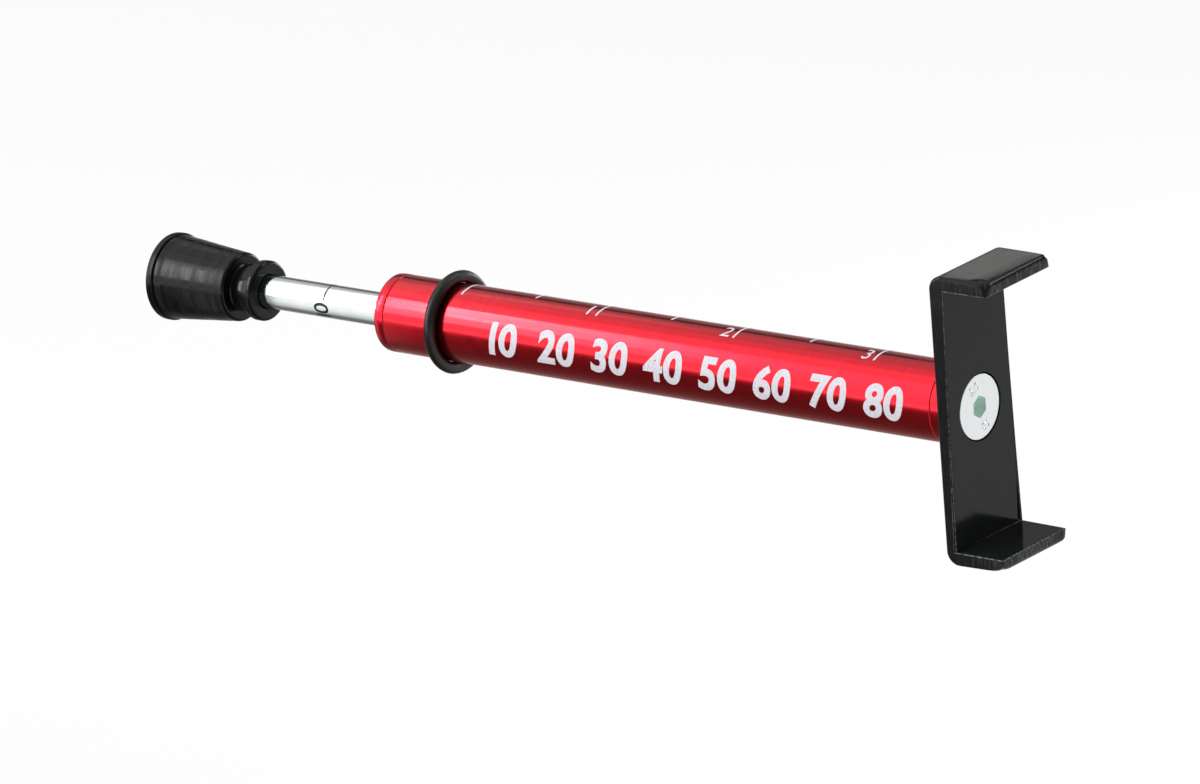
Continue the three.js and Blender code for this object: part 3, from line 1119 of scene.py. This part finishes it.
def stopper_stations():
    """From the face, with its shallow ring mark, over lip, groove and taper to the shoulder."""
    ring_mark = 0.06 * MM
    lip, lip_edge = 0.4 * MM, 0.15 * MM
    lip_end = pad_end + LIP_LENGTH
    groove = 0.10 * MM
    shoulder = 0.55 * MM
    round_x = shoulder_x - shoulder
    stations = [
        (pad_end, 3.2 * MM),
        (pad_end + ring_mark, 3.3 * MM),
        (pad_end + ring_mark, 3.6 * MM),
        (pad_end, 3.7 * MM),
        *arc(pad_end + lip, rim_radius - lip, lip, 180, 90, 8),
        *arc(lip_end - lip_edge, rim_radius - lip_edge, lip_edge, 90, 0, 4),
        (lip_end, body_radius(lip_end) - groove),
        (lip_end + groove, body_radius(lip_end) - groove),
        (lip_end + 2 * groove, body_radius(lip_end + 2 * groove)),
    ]
    for share, step in ((0.10, 0.015 * MM), (0.93, 0.03 * MM)):
        x = lip_end + share * (round_x - lip_end)
        stations.append((x, body_radius(x)))
        stations.append((x + 0.05 * MM, body_radius(x) - step))
        stations.append((x + 0.30 * MM, body_radius(x + 0.30 * MM)))
    stations += arc(round_x, body_radius(round_x) - shoulder, shoulder, 90, 0, 8)
    return stations


def neck_stations():
    """From the foot of the shoulder to the lip of the collar, swelling fast and then level."""
    start, end = shoulder_x, collar_x
    narrow, flare = 3.45 * MM, 4.2 * MM
    stations = [(start, narrow + 0.25 * MM), (start + 0.2 * MM, narrow + 0.02 * MM)]
    for step in range(1, 9):
        share = step / 8
        radius = narrow + (flare - narrow) * math.sin(math.pi / 2 * share)
        stations.append((start + (end - start) * share, max(radius, narrow + 0.02 * MM)))
    return stations[:2] + stations[3:]


def collar_stations():
    outer, rounding, edge = 4.675 * MM, 0.55 * MM, 0.12 * MM
    rubber_gap = 0.04 * MM
    mouth, bore = 0.3 * MM, rod_radius + rubber_gap
    return [
        *arc(collar_x + edge, outer - edge, edge, 180, 90, 3),
        *arc(collar_face - rounding, outer - rounding, rounding, 90, 0, 8),
        *arc(collar_face - mouth, bore + mouth, mouth, 0, -90, 4),
        (rod_outer - rubber_gap, bore),
    ]


stopper = turned("stopper_moulded", [*stopper_stations(), *neck_stations(), *collar_stations()])

# %% [markdown]
# Moulded rubber is nearly black and shows itself by its highlights. Fine rings from the
# mould stretch them along the stopper, and a pale bloom keeps the black from being flat.
# The ring is softer rubber with less shine, so the same recipe takes other values.

# %% Black rubber


def black_rubber(name, base, shine, rough_low, rough_high, rings_per_mm, depth):
    """Rubber: near black, with mould rings, fine grain and a little bloom on the surface."""
    material, tree, shader = new_material(name, Specular_IOR_Level=shine)
    lines = use_group(tree, rings, Rings_per_mm=rings_per_mm, Breakup=0.12)
    pale = tuple(c * 1.8 for c in base[:3]) + (1.0,)
    bloom = remap(tree, grain_of(tree, 4.0, 5.0), 0.4, 0.7, 0.3, 1.0)
    mix = maths(tree, "MULTIPLY", bloom, remap(tree, lines["Tone"], 0.4, 0.65, 0.0, 1.0))
    skin = bump(tree, grain_of(tree, 0.25, 4.0), 0.0015 * MM)
    feed(
        tree, shader,
        Base_Color=blend_colours(tree, mix, base, pale),
        Roughness=remap(tree, lines["Tone"], 0.38, 0.62, rough_low, rough_high),
        Normal=bump(tree, lines["Height"], depth, skin),
    )
    return material


STOPPER_RUBBER = black_rubber(
    "moulded_rubber", (0.0026, 0.0030, 0.0036, 1), shine=0.19,
    rough_low=0.12, rough_high=0.32, rings_per_mm=6.0, depth=0.007 * MM,
)
RING_RUBBER = black_rubber(
    "ring_rubber", (0.0070, 0.0058, 0.0050, 1), shine=0.36,
    rough_low=0.30, rough_high=0.42, rings_per_mm=2.0, depth=0.004 * MM,
)
dress(stopper, STOPPER_RUBBER)
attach(stopper, "plunger")
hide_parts("rubber_stopper")
dress(ring, RING_RUBBER)
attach(ring, "reading_ring")
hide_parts("reading_ring")

# %% [markdown]
# ## Printed marks and numbers
# The print is a thin layer of ink. An image on the barrel could carry it, but it would blur
# up close, so it is modelled. Each mark is a short strip of the cylinder, and each number
# is text made a mesh, cut into narrow bands and wrapped round the radius, so that it bends
# with the surface. Angles are measured from the camera's side up to the top.

# %% Wrap a flat mesh round the axis
INK_RISE = 0.012 * MM
INK_SINK = 0.02 * MM
INK_BAND = 0.3 * MM


def cut_in_bands(piece):
    """In edit mode, cuts the mesh across at even heights, so that it can bend."""
    low = min(v.co.y for v in bmesh.from_edit_mesh(piece.data).verts)
    high = max(v.co.y for v in bmesh.from_edit_mesh(piece.data).verts)
    bands = math.ceil((high - low) / INK_BAND)
    for i in range(1, bands):
        everything()
        y = low + (high - low) * i / bands
        bpy.ops.mesh.bisect(plane_co=(0, y, 0), plane_no=(0, 1, 0))
    everything()
    bpy.ops.mesh.normals_make_consistent(inside=False)


def wrap(piece, x, degrees, radius):
    """Bends a flat mesh round the axis: its x runs along the axis and its y goes up and round."""
    start_clean()
    for vertex in piece.data.vertices:
        angle = math.radians(degrees) + vertex.co.y / radius
        far = radius + vertex.co.z
        vertex.co = (x + vertex.co.x, -far * math.cos(angle), far * math.sin(angle))
    hold(piece)
    edit()
    everything()
    bpy.ops.mesh.normals_make_consistent(inside=False)
    smooth(piece, 40)


print(f"ink stands {INK_RISE / MM:.3f} mm proud, and bends every {INK_BAND / MM:.1f} mm")

# %% [markdown]
# A number starts as Blender's own text. Text could stay text, but it cannot be wrapped, so
# it becomes a mesh, is centred and brought to its height. It is then thickened while flat,
# cut in bands and wrapped. A line skips the text and starts as a thin box.

# %% Numbers and lines


def flat_number(name, text, height, weight=0.0, slant=0.0, stretch=1.0, turn=0.0, spacing=1.0):
    """A number lying in the XY plane, centred there, as tall as asked, left in edit mode."""
    start_clean()
    bpy.ops.object.text_add()
    letters = bpy.context.object.data
    letters.body = text
    letters.offset = weight
    letters.shear = slant
    letters.space_character = spacing
    letters.resolution_u = 6
    bpy.ops.object.convert(target="MESH")
    piece = named(name)
    xs = [v.co.x for v in piece.data.vertices]
    ys = [v.co.y for v in piece.data.vertices]
    scale = height / (max(ys) - min(ys))
    middle = Vector(((max(xs) + min(xs)) / 2, (max(ys) + min(ys)) / 2, 0))
    turned_by = Matrix.Rotation(math.radians(turn), 4, "Z")
    sized = turned_by @ Matrix.Diagonal((scale * stretch, scale, 1, 1))
    piece.data.transform(sized @ Matrix.Translation(-middle))
    edit()
    return piece


def thicken(sink, rise):
    """In edit mode, gives a flat outline depth, from below the surface to above it."""
    everything()
    bpy.ops.transform.translate(value=(0, 0, -sink))
    extrude(z=sink + rise)


def printed_number(name, text, height, x, degrees, radius, **shape):
    piece = flat_number(name, text, height, **shape)
    thicken(INK_SINK, INK_RISE)
    cut_in_bands(piece)
    wrap(piece, x, degrees, radius)
    return piece


def printed_line(name, x, width, low, high, radius):
    """A line round the axis between two angles."""
    start_clean()
    length = math.radians(high - low) * radius
    bpy.ops.mesh.primitive_cube_add(size=1, scale=(width, length, INK_SINK + INK_RISE))
    piece = named(name)
    edit()
    cut_in_bands(piece)
    wrap(piece, x, (low + high) / 2, radius)
    return piece


def joined(name, pieces):
    """Joins pieces into one, under a new name."""
    hold(pieces[0])
    for piece in pieces:
        piece.select_set(True)
    bpy.ops.object.join()
    whole = bpy.context.object
    whole.name = name
    whole.data.name = name
    report(whole)
    return whole


# %% [markdown]
# The inch marks run over the top of the barrel, with half marks between. The bold row
# below counts millimetres from the same zero.

# %% Print the barrel
INCH = 25.4 * MM
zero_x = cap_face + 14.7 * MM
MARK_WIDTH = 0.34 * MM
MARK_TOP = 126.0
INCH_MARK_FOOT = 66.5
HALF_MARK_FOOT = 85.8
INCH_NUMBER_HEIGHT, INCH_NUMBER_AT = 2.55 * MM, 79
BESIDE_MARK = 1.75 * MM
BOLD_HEIGHT, BOLD_AT = 5.4 * MM, 6


def inch_marks():
    marks = []
    for half in range(7):
        foot = INCH_MARK_FOOT if half % 2 == 0 else HALF_MARK_FOOT
        x = zero_x + half * INCH / 2
        marks.append(printed_line(f"mark_{half}", x, MARK_WIDTH, foot, MARK_TOP, barrel_radius))
    return joined("print_inch_marks", marks)


def inch_numbers():
    numbers = []
    for inch in (1, 2, 3):
        numbers.append(
            printed_number(
                f"inch_{inch}", str(inch), INCH_NUMBER_HEIGHT,
                zero_x + inch * INCH - BESIDE_MARK, INCH_NUMBER_AT, barrel_radius,
            )
        )
    return joined("print_inch_numbers", numbers)


def millimetre_numbers():
    numbers = []
    for tens in range(1, 9):
        x = zero_x + tens * 10 * MM
        numbers.append(
            printed_number(
                f"mm_{tens}", str(tens * 10), BOLD_HEIGHT, x, BOLD_AT, barrel_radius,
                weight=0.035, slant=0.16, stretch=0.95, spacing=0.88 if tens == 1 else 1.06,
            )
        )
    return joined("print_millimetre_numbers", numbers)


barrel_prints = [inch_marks(), inch_numbers(), millimetre_numbers()]

# %% [markdown]
# The rod carries one line, half an inch out of the cap, and its number, which is read with
# the gauge held upright, so it is turned by a right angle.

# %% Print the rod
ROD_MARK_X = cap_face - INCH / 2
ROD_LINE_X, ROD_LINE_WIDTH = ROD_MARK_X + 0.1 * MM, 0.26 * MM
ROD_LINE_FOOT, ROD_LINE_TOP = 20, 150
ROD_NUMBER_X, ROD_NUMBER_HEIGHT, ROD_NUMBER_AT = ROD_MARK_X - 0.4 * MM, 2.8 * MM, -16
rod_line = printed_line(
    "print_rod_mark", ROD_LINE_X, ROD_LINE_WIDTH, ROD_LINE_FOOT, ROD_LINE_TOP, rod_radius
)
rod_number = printed_number(
    "print_rod_number", "10", ROD_NUMBER_HEIGHT, ROD_NUMBER_X, ROD_NUMBER_AT, rod_radius,
    turn=90, weight=0.010, spacing=0.70,
)
report(rod_line)
report(rod_number)

# %% [markdown]
# Screen-printed ink is a little grainy. A plain colour would look like a sticker, so the
# grain is in the colour and in the bump. One recipe makes both the white and the black.

# %% Inks


def ink(name, thin, full, rough):
    material, tree, shader = new_material(name, Roughness=rough, Specular_IOR_Level=0.2)
    fine = grain_of(tree, 0.16, 3.0)
    mix = remap(tree, fine, 0.35, 0.6, 0.0, 1.0)
    colour = blend_colours(tree, mix, thin, full)
    feed(tree, shader, Base_Color=colour, Normal=bump(tree, fine, 0.006 * MM))
    return material


WHITE_INK = ink("white_ink", (0.62, 0.58, 0.66, 1), (0.80, 0.80, 0.86, 1), 0.5)
BLACK_INK = ink("black_ink", (0.035, 0.04, 0.04, 1), (0.012, 0.012, 0.012, 1), 0.45)
for piece in barrel_prints:
    dress(piece, WHITE_INK)
    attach(piece, "barrel")
for piece in (rod_line, rod_number):
    dress(piece, BLACK_INK)
    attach(piece, "plunger")

# %% [markdown]
# The raised numbers on the screw's head start as the same flat numbers. They stay flat, and
# are turned up on to the face of the head. The screw's own zinc follows, for both.

# %% Raise the numbers on the screw head
HEAD_MARK_RISE = 0.04 * MM
HEAD_NUMBER_HEIGHT, HEAD_NUMBER_OUT = 1.35 * MM, 3.25 * MM


def head_number(name, text, degrees):
    """A raised number on the head's face, its foot towards the socket."""
    piece = flat_number(name, text, HEAD_NUMBER_HEIGHT, weight=0.01)
    thicken(HEAD_MARK_RISE, HEAD_MARK_RISE)
    everything()
    bpy.ops.mesh.normals_make_consistent(inside=False)
    start_clean()
    upright = Matrix(((0, 0, 1, 0), (1, 0, 0, 0), (0, 1, 0, 0), (0, 0, 0, 1)))
    around = Matrix.Rotation(math.radians(degrees), 4, "X")
    outward_by = Matrix.Translation((0, 0, HEAD_NUMBER_OUT))
    on_head = Matrix.Translation((screw_face, 0, 0))
    piece.data.transform(on_head @ around @ outward_by @ upright)
    return piece


thread_number = head_number("head_a", "5.0", 20)
length_number = head_number("head_b", "10", 200)
head_marks = joined("screw_head_numbers", [thread_number, length_number])


def screw_zinc():
    """White zinc that keeps its green passivation down in the socket, where nothing rubs it."""
    material, tree, shader = new_material("screw_zinc", Metallic=1.0)
    depth = node(tree, "ShaderNodeSeparateXYZ", {0: object_place(tree)}).outputs["X"]
    inside = remap(tree, depth, screw_face - 0.5 * MM, screw_face - 0.1 * MM, 1.0, 0.0)
    fine = grain_of(tree, 0.2, 4.0)
    cool, warm = (0.78, 0.82, 0.83, 1), (0.88, 0.89, 0.89, 1)
    bright = blend_colours(tree, grain_of(tree, 1.6, 2.0), cool, warm)
    green = (0.84, 0.97, 0.91, 1)
    rough = remap(tree, fine, 0.3, 0.7, 0.30, 0.42)
    feed(
        tree, shader,
        Base_Color=blend_colours(tree, inside, bright, green),
        Roughness=maths(tree, "ADD", rough, maths(tree, "MULTIPLY", inside, 0.25)),
        Normal=bump(tree, fine, 0.005 * MM),
    )
    return material


SCREW_ZINC = screw_zinc()
for piece in (screw, head_marks):
    dress(piece, SCREW_ZINC)
    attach(piece, "barrel")
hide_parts("cradle_screw")

# %% [markdown]
# ## Floor, lamps and camera
# The gauge is shown as a product shot, over a pale floor that lies well below it. Lamps
# could light the floor until it is white, but they would burn out the white ink. Camera and
# reflections therefore see it mostly self-lit, and it still takes a little of the shadow.

# %% Floor
FLOOR_Z = -0.15
FLOOR_SIZE = 12.0
SELF_LIT = 0.88


def make_floor():
    start_clean()
    bpy.ops.mesh.primitive_plane_add(size=FLOOR_SIZE, location=(0, 0, FLOOR_Z))
    floor = named("floor")
    material, tree, shader = new_material("pale_floor", Roughness=0.9)
    shader.inputs["Base Color"].default_value = (0.9, 0.9, 0.9, 1.0)
    ray = node(tree, "ShaderNodeLightPath").outputs
    seen = maths(tree, "MAXIMUM", ray["Is Camera Ray"], ray["Is Glossy Ray"])
    seen = maths(tree, "MAXIMUM", seen, ray["Is Transmission Ray"])
    white = node(tree, "ShaderNodeEmission", {"Color": (1, 1, 1, 1), "Strength": 1.0})
    share = maths(tree, "MULTIPLY", seen, SELF_LIT)
    mixed = node(tree, "ShaderNodeMixShader", {0: share, 1: shader.outputs[0], 2: white.outputs[0]})
    clear = node(tree, "ShaderNodeBsdfTransparent")
    below = node(tree, "ShaderNodeNewGeometry").outputs["Backfacing"]
    sides = node(tree, "ShaderNodeMixShader", {0: below, 1: mixed.outputs[0], 2: clear.outputs[0]})
    tree.links.new(sides.outputs[0], tree.nodes["Material Output"].inputs["Surface"])
    dress(floor, material)


make_floor()

# %% [markdown]
# Polished round metal shows its surroundings as bands, so lamps are placed by what the
# barrel reflects. They could be moved about by hand until the bands look right, but the
# bands depend on one thing, the angle about the axis. A panel is therefore given by the
# angles that it covers and how far out it hangs. Its brightness is in shares of white, and
# its energy grows with its area, so that a larger panel is not a dimmer one.

# %% Panels by their angles
ENERGY_PER_AREA = 4


def toward(turn, distance, x):
    """A place at an angle about the X axis, where 0 is the camera's side and 90 is up."""
    angle = math.radians(turn)
    return Vector((x, -distance * math.cos(angle), distance * math.sin(angle)))


def panel(name, low, high, distance, radiance, x=-0.40, length=1.1):
    """A soft panel that covers the angles from low to high about the axis."""
    middle = (low + high) / 2
    height = 2 * distance * math.tan(math.radians(high - low) / 2)
    place = toward(middle, distance, x)
    lamp = bpy.data.lights.new(name, "AREA")
    lamp.shape = "RECTANGLE"
    lamp.size, lamp.size_y = length, height
    lamp.energy = radiance * ENERGY_PER_AREA * length * height
    holder = bpy.data.objects.new(name, lamp)
    bpy.context.scene.collection.objects.link(holder)
    inward = Vector((0, -place.y, -place.z)).normalized()
    along = Vector((1, 0, 0))
    up = (-inward).cross(along)
    turn = Matrix((along, up, -inward)).transposed().to_4x4()
    holder.matrix_world = Matrix.Translation(place) @ turn
    print(f"{name}: {length:.2f} x {height:.2f} m at {radiance} of white")
    return holder


# %% [markdown]
# A ring of soft panels, all round the axis, sets the steps from the bright front to the dim
# back. Narrow bands at the front draw the hot lines on the barrel and its cap. Panels at the
# left, right and low back light the faces that look there.

# %% Hang the panels
BAND_X, BAND_LENGTH = -0.4425, 0.075
CAP_X, CAP_LENGTH = -0.464, 0.022
panel("front_panel", -9, 62, 0.60, 1.32, x=-0.49, length=0.92)
panel("left_panel", 0, 50, 0.60, 8.5, x=-1.06, length=0.34)
panel("hot_band", 46, 62, 0.58, 6.5, x=BAND_X, length=BAND_LENGTH)
panel("warm_band", 30, 46, 0.58, 5.0, x=BAND_X, length=BAND_LENGTH)
panel("faint_band", 14, 30, 0.58, 2.0, x=BAND_X, length=BAND_LENGTH)
panel("cap_band", 34, 62, 0.57, 16.0, x=CAP_X, length=CAP_LENGTH)
panel("cap_glow", 16, 40, 0.57, 6.0, x=CAP_X, length=CAP_LENGTH)
panel("rod_panel", 62, 128, 0.59, 0.80, x=-0.5075, length=0.045)
panel("top_panel", 62, 86, 0.60, 1.10)
panel("upper_panel", 86, 106, 0.60, 0.68)
panel("rear_panel", 106, 124, 0.60, 0.40)
panel("back_panel", 124, 141, 0.60, 0.25)
panel("low_back_panel", 171, 186, 0.60, 5.0, x=0.05, length=0.4)
panel("side_panel", 128, 154, 0.60, 3.8, x=0.30, length=0.30)

# %% [markdown]
# Cards fill the gaps between the panels. A lamp there would light every face, so a card is a
# glowing sheet, mostly a faint one, that only reflections and bounced light see. It is a
# grid wrapped round the axis with the same helper as the print.

# %% Cards and their materials
CARD_STEPS = 24
WINDOW_FADE_IN, WINDOW_FADE_OUT = 0.002, 0.003


def card(name, low, high, radius, material, x=-0.35, length=1.6):
    """A curved card that only reflections and bounced light see, from one angle to another."""
    start_clean()
    round_length = math.radians(high - low) * radius
    bpy.ops.mesh.primitive_grid_add(x_subdivisions=1, y_subdivisions=CARD_STEPS, size=1)
    piece = named(name)
    piece.data.transform(Matrix.Diagonal((length, round_length, 1, 1)))
    wrap(piece, x, (low + high) / 2, radius)
    start_clean()
    dress(piece, material)
    piece.visible_camera = False
    piece.visible_shadow = False
    print(f"{name}: {length:.4f} m long, {round_length:.3f} m round the axis")


def graded(tree, angle, steps, tint=(1.0, 1.0, 1.0)):
    """A brightness that follows the angle, through pairs of degrees and shares of white."""
    low, high = steps[0][0], steps[-1][0]
    ramp = node(tree, "ShaderNodeValToRGB", {0: remap(tree, angle, low, high, 0.0, 1.0)})
    stops = ramp.color_ramp.elements
    while len(stops) < len(steps):
        stops.new(0.5)
    for stop, (degrees, share) in zip(stops, steps):
        stop.position = (degrees - low) / (high - low)
        stop.color = (*(share * c for c in tint), 1.0)
    return ramp.outputs[0]


def glow_material(name):
    """A material that gives a plain light, its tree, and the light's node."""
    material, tree, shader = new_material(name)
    tree.nodes.remove(shader)
    glow = node(tree, "ShaderNodeEmission", {"Strength": 1.0})
    tree.links.new(glow.outputs[0], tree.nodes["Material Output"].inputs["Surface"])
    return material, tree, glow


WARM = (1.0, 0.93, 0.84)


def graded_card(name, by_rod, elsewhere, rod_low, rod_high):
    """A card's material, graded by the angle about the axis, with its own scale by the rod."""
    material, tree, glow = glow_material(name)
    parts = node(tree, "ShaderNodeSeparateXYZ", {0: object_place(tree)}).outputs
    toward_camera = maths(tree, "MULTIPLY", parts["Y"], -1.0)
    turn = maths(tree, "ARCTAN2", parts["Z"], toward_camera)
    angle = maths(tree, "MULTIPLY", turn, 180 / math.pi)
    from_middle = maths(tree, "SUBTRACT", parts["X"], (rod_low + rod_high) / 2)
    from_middle = maths(tree, "ABSOLUTE", from_middle)
    half = (rod_high - rod_low) / 2
    side = remap(tree, from_middle, half - WINDOW_FADE_IN, half + WINDOW_FADE_OUT, 0.0, 1.0)
    beside = graded(tree, angle, elsewhere, WARM)
    colour = blend_colours(tree, side, graded(tree, angle, by_rod), beside)
    tree.links.new(colour, glow.inputs["Color"])
    return material


def plain_card(name, colour, strength=1.0):
    """A card's material with one colour all over."""
    material, _, glow = glow_material(name)
    glow.inputs["Color"].default_value = (*colour, 1.0)
    glow.inputs["Strength"].default_value = strength
    return material


# %% [markdown]
# The front and back cards are graded by the angle, with one scale for what the rod sees and
# one for what the barrel sees. Three small cards serve the upper flange and the stopper: so
# close, each of these sees a place of its own, which no panel further out can give it.

# %% Place the cards
FRONT_BY_ROD = [
    (-143, 0.5), (-122, 0.36), (-103, 0.17), (-82, 0.28),
    (-63, 0.85), (-43, 1.2), (-23, 1.5), (-12, 1.5),
]
FRONT_ELSEWHERE = [
    (-143, 0.5), (-127, 0.32), (-115, 0.24), (-85, 0.17),
    (-63, 0.16), (-43, 0.17), (-23, 0.20), (-12, 0.34),
]
BACK_BY_ROD = [(141, 0.12), (150, 0.10), (155, 0.14)]
BACK_ELSEWHERE = [(141, 0.08), (148, 0.035), (155, 0.12)]
front_tone = graded_card("front_card_tone", FRONT_BY_ROD, FRONT_ELSEWHERE, -0.157, -0.124)
back_tone = graded_card("back_card_tone", BACK_BY_ROD, BACK_ELSEWHERE, -0.6, -0.5)
flange_tone = plain_card("flange_card_tone", (0.98, 1.0, 0.93))
stopper_light = plain_card("stopper_light_tone", (1.0, 1.0, 1.0), 13.0)
stopper_dark = plain_card("stopper_dark_tone", (0.10, 0.10, 0.10))
card("front_card", -143, -12, 0.12, front_tone, x=-0.565, length=1.17)
card("back_card", 142, 155, 0.60, back_tone)
card("flange_card", 142, 153, 0.12, flange_tone, x=0.01, length=0.04)
card("stopper_light_card", 16, 50, 0.12, stopper_light, x=-0.1335, length=0.010)
card("stopper_dark_card", -90, -4, 0.06, stopper_dark, x=-0.1120, length=0.0135)

# %% [markdown]
# The world fills the shadows with an even grey. It is dim, because the panels do the work,
# and a strong world would flatten the bands.

# %% World
WORLD_LEVEL = 0.3
world = bpy.data.worlds.new("studio")
bpy.context.scene.world = world
world.use_nodes = True
background = world.node_tree.nodes["Background"]
background.inputs["Color"].default_value = (1.0, 1.0, 1.0, 1.0)
background.inputs["Strength"].default_value = WORLD_LEVEL
print("world at", WORLD_LEVEL, "of white")

# %% [markdown]
# The camera was found by fitting the barrel's marks, the cradle's corners and the screw's
# circle to the photograph. It could be aimed by eye, but a fit settles turn, distance and
# lens together. It is a long lens, far away and a little above.

# %% Camera
IMAGE_WIDTH = 1200
FOCAL_PIXELS = 8627.9
SENSOR = 36.0
CAMERA_PLACE = (0.76952, -0.95004, 0.39341)


def make_camera():
    data = bpy.data.cameras.new("camera")
    camera = bpy.data.objects.new("camera", data)
    bpy.context.scene.collection.objects.link(camera)
    right = Vector((0.79135579, 0.60645578, -0.07724897))
    up = Vector((-0.13206409, 0.29295062, 0.94696305))
    back = Vector((0.59692135, -0.73918287, 0.3119192))
    turn = Matrix((right, up, back)).transposed().to_4x4()
    camera.matrix_world = Matrix.Translation(CAMERA_PLACE) @ turn
    data.sensor_width = SENSOR
    data.lens = FOCAL_PIXELS / IMAGE_WIDTH * SENSOR
    data.clip_start, data.clip_end = 0.05, 50.0
    bpy.context.scene.camera = camera
    print(f"lens {data.lens:.1f} mm")


make_camera()
bpy.context.scene.view_settings.view_transform = "Standard"

# %% Finish
start_clean()
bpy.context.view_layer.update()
